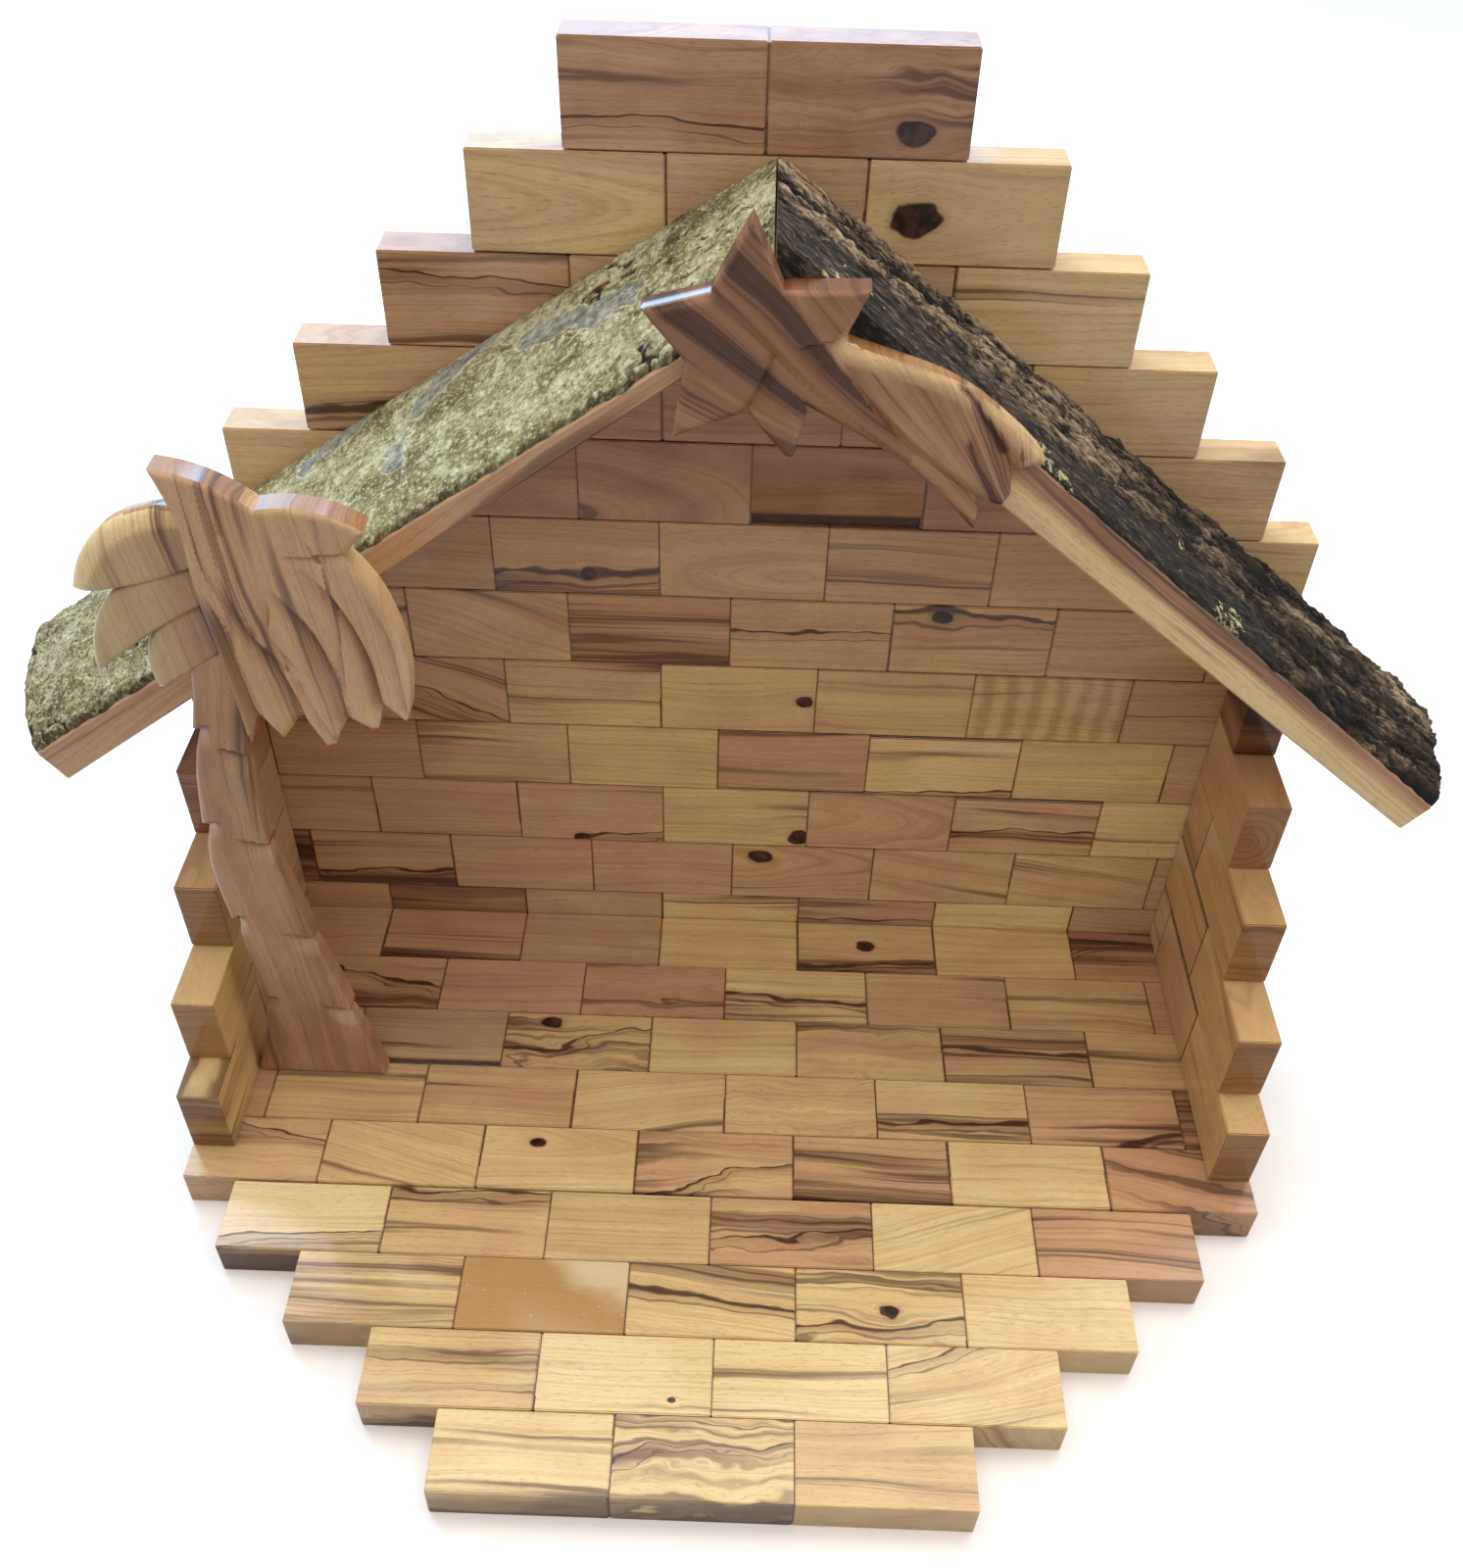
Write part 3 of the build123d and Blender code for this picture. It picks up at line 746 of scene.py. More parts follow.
# Roof: each slope is measured from its solids

FACING_DOWN = -0.5
EDGE_MARGIN, RIDGE_MARGIN, EAVE_MARGIN = 0.05, 0.3, 0.1
RAY_HEIGHT = 60.0
IN_THE_SLAB = 4.0
RIDGE_GAP = 0.1


def ray_tree(mesh):
    """A mesh made ready for measuring with rays."""
    return BVHTree.FromPolygons([v.co for v in mesh.vertices], [p.vertices for p in mesh.polygons])


class Slope:
    """One side of the roof: millimetres along from the ridge, across from the back edge, and up."""

    def __init__(self, slab_node, bark_node, side):
        self.side = side
        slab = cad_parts[slab_node].data
        under = max((p for p in slab.polygons if p.normal.z < FACING_DOWN), key=lambda p: p.area)
        self.up = -under.normal
        self.along = Vector((0, 1, 0)).cross(self.up) * (1 if side > 0 else -1)
        corners = [v.co for v in slab.vertices if abs((v.co - under.center).dot(self.up)) < 1e-6]
        ridge = min(corners, key=lambda co: co.dot(self.along))
        back, front = max(v.co.y for v in slab.vertices), min(v.co.y for v in slab.vertices)
        self.origin = Vector((ridge.x, back, ridge.z))
        self.depth = (back - front) / MM
        self.lean = -side * self.up.x / self.up.z
        self.wood = ray_tree(slab)
        self.bark = ray_tree(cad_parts[bark_node].data)
        self.longest = max((v.co - self.origin).dot(self.along) for v in slab.vertices) / MM

    def at(self, along, across, up):
        return self.origin + (self.along * along + Vector((0, -across, 0)) + self.up * up) * MM

    def mitre(self, up):
        """Where the pieces begin at a height, a hair from the ridge's upright seam."""
        return self.lean * up + RIDGE_GAP

    def inside(self, across):
        """A place across that is surely over the solids."""
        return min(max(across, EDGE_MARGIN), self.depth - EDGE_MARGIN)

    def end(self, across):
        """Where the eave end lies."""
        start = self.at(self.longest / 2, self.inside(across), IN_THE_SLAB)
        hit = self.wood.ray_cast(start, self.along)
        return (hit[0] - self.origin).dot(self.along) / MM

    def top_of(self, tree, along, across):
        """The height of the solids' upper face at a place."""
        along = min(max(along, RIDGE_MARGIN), self.end(across) - EAVE_MARGIN)
        hit = tree.ray_cast(self.at(along, self.inside(across), RAY_HEIGHT), -self.up)
        return (hit[0] - self.origin).dot(self.up) / MM if hit[0] else 0.0


def smooth(value, low, high):
    """An eased step from 0 at the low value to 1 at the high one, which may also be the lesser."""
    share = min(max((value - low) / (high - low), 0.0), 1.0)
    return share * share * (3 - 2 * share)


def drift_at(along, across, scale, layer):
    """Smooth noise over a surface, at scales along and across; each layer has its own."""
    return noise.noise(Vector((along * scale[0], across * scale[1], layer)))


def crumble_at(along, across, scale, layer, fall, octaves):
    """Noise over a surface with finer noise on it."""
    return noise.fractal(Vector((along * scale[0], across * scale[1], layer)), fall, 2.0, octaves)


def along_line(spots, line):
    """For each spot: how far off a line it is, on which side, and at what share of the line's length."""
    line = np.asarray(line, float)
    start, reach = line[:-1], line[1:] - line[:-1]
    lengths = np.hypot(*reach.T)
    offset = spots[:, None, :] - start[None]
    share = np.clip((offset * reach).sum(2) / lengths ** 2, 0, 1)
    gap = np.linalg.norm(offset - share[..., None] * reach, axis=2)
    nearest = gap.argmin(1)
    rows = np.arange(len(spots))
    cross = reach[nearest, 0] * offset[rows, nearest, 1] - reach[nearest, 1] * offset[rows, nearest, 0]
    before = np.concatenate([[0], np.cumsum(lengths)])
    travelled = before[nearest] + share[rows, nearest] * lengths[nearest]
    return gap[rows, nearest], np.sign(cross), travelled / before[-1]


SLAB_STEP = 1.7
SLAB_COLUMNS = 12
SLAB_ROWS = 9
SLAB_EASE = 0.5
SLAB_ANGLE = 40.0
FRONT_WAVE, FRONT_WAVE_REACH, FRONT_WAVE_SCALE = 0.35, 2.0, (0.045, 0.15)
BAND_DRIFT, BAND_DRIFT_SCALE = 0.10, (0.02, 1.0)


class Bands(Cut):
    """Wood of a slab, whose sapwood and heart lie in bands over its height, as shares of that height."""

    def __init__(self, bands, height, **values):
        super().__init__(**values)
        self.bands = bands
        self.height = height

    def values(self, grain):
        found = super().values(grain)
        drift = drift_at(grain[0], 4.0, BAND_DRIFT_SCALE, self.numbers["seed"])
        share = grain[1] / self.height + BAND_DRIFT * drift
        low = self.bands[0]
        for high in self.bands[1:]:
            part = smooth(share, low[0], high[0])
            if share <= high[0] or high is self.bands[-1]:
                found["tone"] = low[1] + (high[1] - low[1]) * part
                found["heart"] = low[2] + (high[2] - low[2]) * part
                break
            low = high
        return found


def grid_faces(rows, columns, number):
    """Quads over a grid whose vertices are numbered by a function of row and column."""
    cells = [(i, j) for i in range(rows - 1) for j in range(columns - 1)]
    return [[number(i, j), number(i, j + 1), number(i + 1, j + 1), number(i + 1, j)] for i, j in cells]


def slab_piece(slope, node, cut):
    """The sawn wood of one roof side, its front face a little wavy."""
    stations = int(slope.longest / SLAB_STEP) + 1
    per_station = 2 * (SLAB_COLUMNS + 1) + SLAB_ROWS
    columns = [slope.depth * j / SLAB_COLUMNS for j in range(SLAB_COLUMNS + 1)]
    eased_columns = [*columns[:-1], columns[-1] - SLAB_EASE]
    ends = [slope.end(across) for across in columns]
    places, grain = [], []
    for i in range(stations):
        share = i / (stations - 1)

        def put(column, across, up):
            start = slope.mitre(up)
            along = start + (ends[column] - start) * share
            wave = FRONT_WAVE * (0.5 + 0.5 * drift_at(along, up, FRONT_WAVE_SCALE, slope.side))
            across -= wave * smooth(across, slope.depth - FRONT_WAVE_REACH, slope.depth)
            places.append(slope.at(along, across, up))
            grain.append((along, up, slope.depth - across))

        tops = [slope.top_of(slope.wood, end * share, across) for end, across in zip(ends, columns)]
        for j, across in enumerate(eased_columns):
            put(j, across, 0.0)
        for row in range(SLAB_ROWS):
            front_height = tops[-1] - 2 * SLAB_EASE
            put(SLAB_COLUMNS, slope.depth, SLAB_EASE + front_height * row / (SLAB_ROWS - 1))
        for j in reversed(range(SLAB_COLUMNS + 1)):
            put(j, eased_columns[j], tops[j])

    def number(i, k):
        return i * per_station + k % per_station

    faces = grid_faces(stations, per_station + 1, number)
    caps = [[j, j + 1, per_station - 2 - j, per_station - 1 - j] for j in range(SLAB_COLUMNS - 1)]
    caps.append(list(range(SLAB_COLUMNS - 1, SLAB_COLUMNS + SLAB_ROWS + 3)))
    for i in (0, stations - 1):
        faces += [[number(i, k) for k in cap] for cap in caps]
    numbers, vectors = cut.attributes(grain)
    piece = mesh_piece("dressed_" + node, places, faces, numbers, vectors, [SLAB_WOOD], SLAB_ANGLE)
    return dressed(piece, node)


BARK_STEP = 0.7
BARK_LAP = 0.25
BARK_ANGLE = 60.0
LIP_PROUD = 0.1
LIP_RUN, LIP_HANG, LIP_RAGGED, LIP_RAGGED_SCALE = (70, 24), 6.2, 0.8, (0.2, 1.0)
FRONT_RAGGED, FRONT_RAGGED_SCALE, FRONT_FROM = 0.55, (0.16, 1.0), 0.8
EDGE_ROUND, EDGE_ROUND_REACH = 0.8, 2.2
LICHEN_DEEPEST, FURROW_DEEPEST = 1.6, 3.2
BACK_FURROW = [(-9, 14), (8, 19), (20, 18), (32, 13), (52, 7.5), (78, 4)]
LICHEN_CRUMBS = [(14, 43, 5), (64, 41, 5), (70, 43, 4), (120, 42, 6), (108, 30, 3)]
ORANGE_CHIP, CHIP_HALF = (41, 9.5), (3.2, 1.7)
BARE_PATCHES = [([(33, 19), (46, 16), (56.5, 13)], 3.6),
                ([(68, 2), (79, 4.5), (85, 10), (89, 18), (92, 25)], 2.8),
                ([(104, 3), (118, 6)], 2.5)]
BARE_FADE = 0.9
BARK_NUMBERS = ("relief", "calm", "crumbs", "from_edge")


def lichen_relief(along, across):
    """The left bark: how far a place lies under the fullest height, and whether it is bare or torn."""
    rough = 0.6 + 0.8 * smooth(along, 60, 20) + 0.8 * smooth(along, 140, 165)
    cell = Vector((along * 0.15, across * 0.25, 3.1))
    cell += noise.noise_vector(cell * 0.8) * 0.5
    distances = noise.voronoi(cell)[0]
    patch = smooth(drift_at(along, across, (0.035, 0.06), 9.0), -0.05, 0.3)
    crack = (1 - smooth(distances[1] - distances[0], 0.0, 0.14)) * patch
    bumps = crumble_at(along, across, (0.3, 0.2), 5.0, 0.9, 4)
    fine = crumble_at(along, across, (0.95, 0.6), 2.0, 0.8, 2)
    drift = 3.2 * crumble_at(along, across, (0.13, 0.2), 12.0, 0.8, 3)
    spot = np.array([(along, across)])
    bare = 0.0
    for line, half in BARE_PATCHES:
        gap = along_line(spot, line)[0][0] + drift
        bare = max(bare, smooth(gap, half + BARE_FADE, half - BARE_FADE))
    off_chip = [(at - middle) / half for at, middle, half in zip((along, across), ORANGE_CHIP, CHIP_HALF)]
    chip = smooth(math.hypot(*off_chip), 1.0, 0.6)
    drop = 0.55 + (1 - 0.8 * bare) * (rough * (0.6 * crack - 0.36 * bumps) - 0.22 * fine) + 0.5 * chip
    return drop, bare, chip


def furrow_relief(along, across):
    """The right bark: how far a place lies under the fullest height, and whether it is char or crumbs."""
    bent_across = across + 3.5 * drift_at(along, across, (0.03, 0.07), 1.7)
    main = abs(drift_at(along, bent_across, (0.045, 0.26), 6.0))
    side = abs(drift_at(along, bent_across, (0.11, 0.62), 8.0))
    grit = crumble_at(along, across, (0.5, 0.9), 3.0, 0.7, 3)
    wander = 4 * drift_at(along, 2.0, (0.05, 1.0), 7.0)
    char = smooth(across + wander, 26, 33) * smooth(along, 150, 120)
    gap = along_line(np.array([(along, across)]), BACK_FURROW)[0][0]
    split = smooth(gap, 1.9, 0.5) * smooth(along, 80, 60)
    crests = 1.5 * (1 - min(1.0, main * 3.0)) + 0.9 * (1 - min(1.0, side * 3.2)) - 0.5 * grit
    drop = 0.4 + (1 - 0.5 * char) * crests + 0.6 * char + 1.9 * split
    off_crumbs = [(math.hypot(along - x, across - y), reach) for x, y, reach in LICHEN_CRUMBS]
    crumbs = max(smooth(gap, reach, 0.4 * reach) for gap, reach in off_crumbs)
    return drop, char, crumbs


def no_lip(along):
    return 0.0


def ridge_lip(along):
    """How far the right bark hangs over the slab's front, near the ridge."""
    return smooth(along, *LIP_RUN) * (LIP_HANG + LIP_RAGGED * drift_at(along, 3.0, LIP_RAGGED_SCALE, 1.0))


def bark_piece(slope, node, relief, deepest, lip_at, material):
    """Bark over one slab: a closed sheet with relief on top, whose front may hang over the wood."""
    stations = int(slope.longest / BARK_STEP) + 1
    columns = int(slope.depth / BARK_STEP) + 1
    ends = [slope.end(slope.depth * j / (columns - 1)) for j in range(columns)]
    places, spots = [], []
    numbers = {key: [] for key in BARK_NUMBERS}
    for layer in ("top", "bottom"):
        for i in range(stations):
            share = i / (stations - 1)
            for j in range(columns):
                across = slope.depth * j / (columns - 1)
                along = ends[j] * share
                lip = lip_at(along)
                hangs = smooth(lip, 0.0, 1.0)
                numbers["from_edge"].append(slope.depth - across)
                ragged = crumble_at(along, slope.side, FRONT_RAGGED_SCALE, 1.0, 0.8, 3)
                ragged = max(FRONT_RAGGED + FRONT_RAGGED * ragged, 0.0)
                across -= ragged * smooth(across, slope.depth * FRONT_FROM, slope.depth) * (1 - hangs)
                up = slope.top_of(slope.wood, along, across) - BARK_LAP
                drop, calm, crumbs = relief(along, across)
                if layer == "top":
                    full = slope.top_of(slope.bark, along, across)
                    rim = min(across, slope.depth - across, (slope.end(across) - along) * 1.5)
                    round_off = EDGE_ROUND * (1 - smooth(rim, 0.0, EDGE_ROUND_REACH)) ** 2
                    up = max(full - max(drop, 0.0) - round_off, up + 2 * BARK_LAP)
                elif j == columns - 1:
                    up -= lip
                if j == columns - 1:
                    across += LIP_PROUD * hangs
                start = slope.mitre(up)
                places.append(slope.at(start + (ends[j] - start) * share, across, up))
                numbers["relief"].append(1 - min(max(drop / deepest, 0.0), 1.0))
                numbers["calm"].append(calm)
                numbers["crumbs"].append(crumbs)
                spots.append((along, across, up))
    half = stations * columns

    def top(i, j):
        return i * columns + j

    def bottom(i, j):
        return half + i * columns + j

    faces = grid_faces(stations, columns, top) + grid_faces(stations, columns, bottom)
    for j in (0, columns - 1):
        faces += grid_faces(stations, 2, lambda i, layer: (top, bottom)[layer](i, j))
    for i in (0, stations - 1):
        faces += grid_faces(2, columns, lambda layer, j: (top, bottom)[layer](i, j))
    vectors = {"slope_at": spots}
    piece = mesh_piece("dressed_" + node, places, faces, numbers, vectors, [material], BARK_ANGLE)
    return dressed(piece, node)


MOSS = [(0.34, linear(110, 103, 66)), (0.5, linear(150, 143, 98)), (0.66, linear(176, 171, 134))]
MOSS_PALE = linear(204, 201, 166)
MOSS_SHADE = linear(100, 92, 58)
CRUST = linear(214, 211, 180)
CRUST_GAP = linear(86, 79, 54)
CRUST_CRUMB = linear(224, 221, 194)
CRUST_RIM = linear(212, 211, 182)
EAVE_TINT = linear(214, 196, 190)
PIT = linear(52, 44, 34)
STONE = [(0.38, linear(104, 106, 102)), (0.6, linear(156, 160, 156))]
TORN_ORANGE = linear(190, 116, 52)
CRACK = linear(46, 40, 30)
CRAZING = linear(42, 37, 29)
FRONT_EDGE_SHADOW = linear(56, 44, 33)
FURROWED = [(0.28, linear(17, 16, 16)), (0.48, linear(50, 44, 40)),
            (0.66, linear(116, 98, 80)), (0.92, linear(192, 166, 132))]
WEATHERED = linear(100, 97, 97)
SOOT = [(0.35, linear(15, 15, 16)), (0.55, linear(50, 46, 43)), (0.72, linear(112, 98, 84))]
LICHEN_FLECK = linear(204, 196, 146)


def bark_shader(name):
    """A new material, its nodes and shader, the numbers that bark carries, and the place on the slope."""
    material, n, shader = new_finish(name)
    carried = {key: n.attribute(key)["Fac"] for key in BARK_NUMBERS}
    return material, n, shader, carried, n.attribute("slope_at")["Vector"]


def lichen_finish():
    """Olive-grey bark under a fine pale crust, with bare grey patches in pale rims, dark cracks with
    painted shade where deepest, and a painted shadow line along its front edge.
    """
    material, n, shader, carried, place = bark_shader("lichen_bark")
    along = n.parts(place)[0]
    low_end = n.rise(along, 128.0, 150.0)
    ridge_end = n.rise(along, 52.0, 22.0)
    drift = n.noise(n.scaled(place, (0.06, 0.09, 0.07)), detail=3.0)
    broad = n.noise(n.scaled(place, (0.13, 0.10, 0.11)), detail=3.0, roughness=0.6)
    patch = n.noise(n.scaled(place, (0.50, 0.52, 0.5)), detail=4.0, roughness=0.62)
    crumb = n.noise(n.scaled(place, (1.3, 1.35, 1.3)), detail=5.0, roughness=0.66)
    paint = Paint(n, n.ramp(drift, MOSS))
    paint.over(MOSS_PALE, n.rise(broad, 0.52, 0.64), 0.55)
    paint.over(MOSS_SHADE, n.rise(broad, 0.47, 0.36), 0.5)
    paint.over(CRUST, n.rise(patch, 0.53, 0.62), 0.55)
    paint.over(CRUST_GAP, n.rise(patch, 0.46, 0.38), 0.6)
    paint.over(CRUST_CRUMB, n.rise(crumb, 0.54, 0.63), 0.55)
    paint.stain(EAVE_TINT, low_end, 0.4)
    pits = n.rise(crumb, n.rise(low_end, 0.0, 1.0, 0.45, 0.50), 0.36)
    paint.over(PIT, pits, n.rise(low_end, 0.0, 1.0, 0.6, 0.95))

    # Bare patches, the torn chip, cracks with painted shade where deepest, and a painted shadow line along
    # the front edge
    worn = n.total(carried["calm"], n.sway(patch, 0.9), n.sway(crumb, 0.6))
    paint.over(n.ramp(patch, STONE), n.rise(worn, 0.4, 0.75), 0.68)
    paint.over(CRUST_RIM, n.rise(worn, 0.1, 0.35), n.rise(worn, 0.62, 0.4), 0.6)
    paint.over(TORN_ORANGE, carried["crumbs"], n.rise(crumb, 0.40, 0.52))
    # Darkest where the relief is deepest: the cracks' dark bark, with painted shade in them
    paint.over(CRACK, n.rise(carried["relief"], 0.50, 0.26))
    crazing = n.noise(n.scaled(place, (0.24, 0.62, 0.5)), detail=4.0, roughness=0.7)
    paint.over(CRAZING, n.rise(crazing, 0.44, 0.38), ridge_end, 0.85)
    # A painted shadow line along the bark's front edge
    paint.over(FRONT_EDGE_SHADOW, n.rise(n.total(carried["from_edge"], n.sway(patch, 3.0)), 0.6, 0.1), 0.42)
    n.put(shader.inputs["Base Color"], paint.colour)
    n.put(shader.inputs["Roughness"], n.rise(crumb, 0.3, 0.7, 0.7, 0.95))
    shader.inputs["Specular IOR Level"].default_value = 0.12
    n.emboss(shader, n.total(n.times(crumb, 0.9), n.times(patch, 0.6)), 0.45, 0.6 * MM)
    return material


def furrow_finish():
    """Almost black bark with torn tan crests, darker in the furrows and paler on the crests partly as
    painted shade and highlight, smooth char along the front and a few crumbs of lichen.
    """
    material, n, shader, carried, place = bark_shader("furrowed_bark")
    fibre = n.noise(n.scaled(place, (0.36, 1.5, 1.2)), detail=5.0, roughness=0.66)
    weather = n.noise(n.scaled(place, (0.05, 0.12, 0.1)), detail=2.0)
    crumb = n.noise(n.scaled(place, (0.8, 0.9, 0.9)), detail=4.0, roughness=0.65)
    low_half = n.rise(n.parts(place)[0], 75.0, 115.0)
    # Colour by depth: the bark's own dark furrows and tan crests, with painted shade deep down and a
    # painted highlight on the crests
    level = n.total(n.times(carried["relief"], 0.8), 0.1, n.sway(fibre, 1.7))
    paint = Paint(n, n.ramp(level, FURROWED))
    paint.stain(WEATHERED, n.rise(weather, 0.30, 0.55), low_half)
    paint.over(n.ramp(fibre, SOOT), carried["calm"], 0.75)
    flecks = n.times(n.rise(crumb, 0.51, 0.57), n.rise(carried["crumbs"], 0.05, 0.5))
    paint.over(LICHEN_FLECK, n.maths("MAXIMUM", flecks, n.rise(crumb, 0.68, 0.72)), 0.85)
    n.put(shader.inputs["Base Color"], paint.colour)
    n.put(shader.inputs["Roughness"], n.rise(fibre, 0.3, 0.7, 0.5, 0.9))
    shader.inputs["Specular IOR Level"].default_value = 0.15
    n.emboss(shader, n.total(fibre, n.times(crumb, 0.4)), 0.8, 0.9 * MM)
    return material


SLAB_WOOD = lacquered("slab_olive", 0.4, 0.2, 0.2)
left_slope = Slope("roof_left_slab", "roof_left_bark", -1)
right_slope = Slope("roof_right_slab", "roof_right_bark", 1)

# Bands of a slab from its underside up: share of the height, tone and heart
PALE_SAP = [(0.0, 0.55, 0.08), (0.45, 0.6, 0.16), (0.55, 0.95, 0.62), (0.66, 0.72, 0.25), (1.0, 0.9, 0.42)]
RED_HEART = [(0.0, -0.05, 0.0), (0.42, 0.02, 0.03), (0.53, 0.5, 0.34), (0.65, 0.88, 0.50), (1.0, 1.0, 0.58)]
slab_piece(left_slope, "roof_left_slab", Bands(PALE_SAP, 12.0, seed=3.0))
slab_piece(right_slope, "roof_right_slab", Bands(RED_HEART, 11.0, seed=8.0))
bark_piece(
    left_slope, "roof_left_bark", lichen_relief, LICHEN_DEEPEST, no_lip, lichen_finish())
bark_piece(
    right_slope, "roof_right_bark", furrow_relief, FURROW_DEEPEST, ridge_lip, furrow_finish())

# Side walls, whose topmost course is bevelled under the roof

ROOF_GLUE = 0.2
for name, slope, courses in (("left", left_slope, LEFT_CUTS), ("right", right_slope, RIGHT_CUTS)):
    under_roof = (slope.at(0, 0, -ROOF_GLUE), slope.up)
    along_the_wall = (Y, Z, X, slope.side < 0)
    for course, cuts in enumerate(courses, 1):
        node = f"{name}_wall_course_{course}"
        brick_course(node, WALL_WOOD, along_the_wall, cuts, [under_roof])


# Carved boards: outlines and cuts are in millimetres across and up a board, from its own corner or middle

CARVE_STEP = 0.8
CARVE_ROW = CARVE_STEP * 0.87
RIM_RINGS = (0.3, 0.7)
SAME_SPOT = 0.02
JUST_INSIDE = 0.05
GRID_OFF_RIM, GRID_OFF_CREASE = RIM_RINGS[-1] + 0.25, 0.35
RING_OFF_RIM, RING_OFF_CREASE = RIM_RINGS[0] * 0.8, 0.2
CREASE_OFF_RIM = 0.15
CARVED_ANGLE = 32.0


def bent(start, through, stop, parts=14):
    """Places along the arc through three points, both ends included."""
    (ax, ay), (bx, by), (cx, cy) = start, through, stop
    twice = 2 * (ax * (by - cy) + bx * (cy - ay) + cx * (ay - by))
    a, b, c = ax * ax + ay * ay, bx * bx + by * by, cx * cx + cy * cy
    x = (a * (by - cy) + b * (cy - ay) + c * (ay - by)) / twice
    y = (a * (cx - bx) + b * (ax - cx) + c * (bx - ax)) / twice
    radius = math.hypot(ax - x, ay - y)
    first = math.atan2(ay - y, ax - x)
    turn = (math.atan2(cy - y, cx - x) - first) % math.tau
    if (math.atan2(by - y, bx - x) - first) % math.tau > turn:
        turn -= math.tau
    angles = [first + turn * k / parts for k in range(parts + 1)]
    return [(x + radius * math.cos(t), y + radius * math.sin(t)) for t in angles]


def flowing(points, parts=8):
    """Places along a smooth line through the points, both ends included."""
    padded = [points[0], *points, points[-1]]
    line = []
    for k in range(1, len(padded) - 2):
        p, q, r, s = (np.array(point, float) for point in padded[k - 1:k + 3])
        for t in np.arange(parts) / parts:
            line.append(tuple(0.5 * (2 * q + (r - p) * t + (2 * p - 5 * q + 4 * r - s) * t * t
                                     + (3 * q - p - 3 * r + s) * t ** 3)))
    return line + [tuple(points[-1])]


def chained(*runs):
    """One closed outline out of runs that follow each other, with long sides divided."""
    corners = []
    for run in runs:
        corners += [p for p in run if not corners or math.dist(p, corners[-1]) > SAME_SPOT]
    if math.dist(corners[0], corners[-1]) < SAME_SPOT:
        corners.pop()
    return np.array(divided(corners + corners[:1])[:-1])


def divided(points):
    """A line with its long sides divided into steps."""
    line = []
    for (ax, ay), (bx, by) in zip(points, points[1:]):
        parts = max(1, round(math.hypot(bx - ax, by - ay) / CARVE_STEP))
        line += [(ax + (bx - ax) * k / parts, ay + (by - ay) * k / parts) for k in range(parts)]
    return line + [tuple(points[-1])]


def eased(value, low, high):
    """The step of smooth, for many values at once."""
    share = np.clip((value - low) / (high - low), 0, 1)
    return share * share * (3 - 2 * share)


def is_inside(spots, rim):
    """Whether each spot lies inside a closed outline."""
    a, b = rim, np.roll(rim, -1, axis=0)
    x, y = spots[:, :1], spots[:, 1:]
    spans = (a[:, 1] > y) != (b[:, 1] > y)
    rise = np.where(b[:, 1] == a[:, 1], 1e-9, b[:, 1] - a[:, 1])
    crossing = a[:, 0] + (y - a[:, 1]) * (b[:, 0] - a[:, 0]) / rise
    return (spans & (x < crossing)).sum(1) % 2 == 1


def inset_rings(rim):
    """Spots that follow an outline on its inside."""
    heading = np.roll(rim, -1, axis=0) - np.roll(rim, 1, axis=0)
    inward = np.stack([-heading[:, 1], heading[:, 0]], 1) / np.linalg.norm(heading, axis=1)[:, None]
    if not is_inside(rim + inward * JUST_INSIDE, rim).mean() > 0.5:
        inward = -inward
    return np.vstack([rim + inward * ring for ring in RIM_RINGS])


def carving_net(rim, closed, creases):
    """Spots all over a board and its triangles, whose sides follow the outline and the creases."""
    low, high = rim.min(0), rim.max(0)
    across = np.arange(low[0], high[0], CARVE_STEP)
    upward = np.arange(low[1], high[1], CARVE_ROW)
    grid = np.array([(x + (k % 2) * CARVE_STEP / 2, y) for k, y in enumerate(upward) for x in across])
    lines = [np.array(divided(line)) for line in creases]

    def clear(spots, off_rim, off_crease):
        kept = is_inside(spots, rim) & (along_line(spots, closed)[0] > off_rim)
        for line in lines:
            kept &= along_line(spots, line)[0] > off_crease
        return spots[kept]

    grid = clear(grid, GRID_OFF_RIM, GRID_OFF_CREASE)
    rings = clear(inset_rings(rim), RING_OFF_RIM, RING_OFF_CREASE)
    points, edges = [rim, grid, rings], [(k, (k + 1) % len(rim)) for k in range(len(rim))]
    first = len(rim) + len(grid) + len(rings)
    for line in lines:
        inside = line[is_inside(line, rim) & (along_line(line, closed)[0] > CREASE_OFF_RIM)]
        points.append(inside)
        edges += [(first + k, first + k + 1) for k in range(len(inside) - 1)]
        first += len(inside)
    flat = [Vector(p) for p in np.vstack(points)]
    found, _, triangles, *_ = delaunay_2d_cdt(flat, edges, [], 1, 1e-5)
    return np.array([tuple(p) for p in found]), triangles


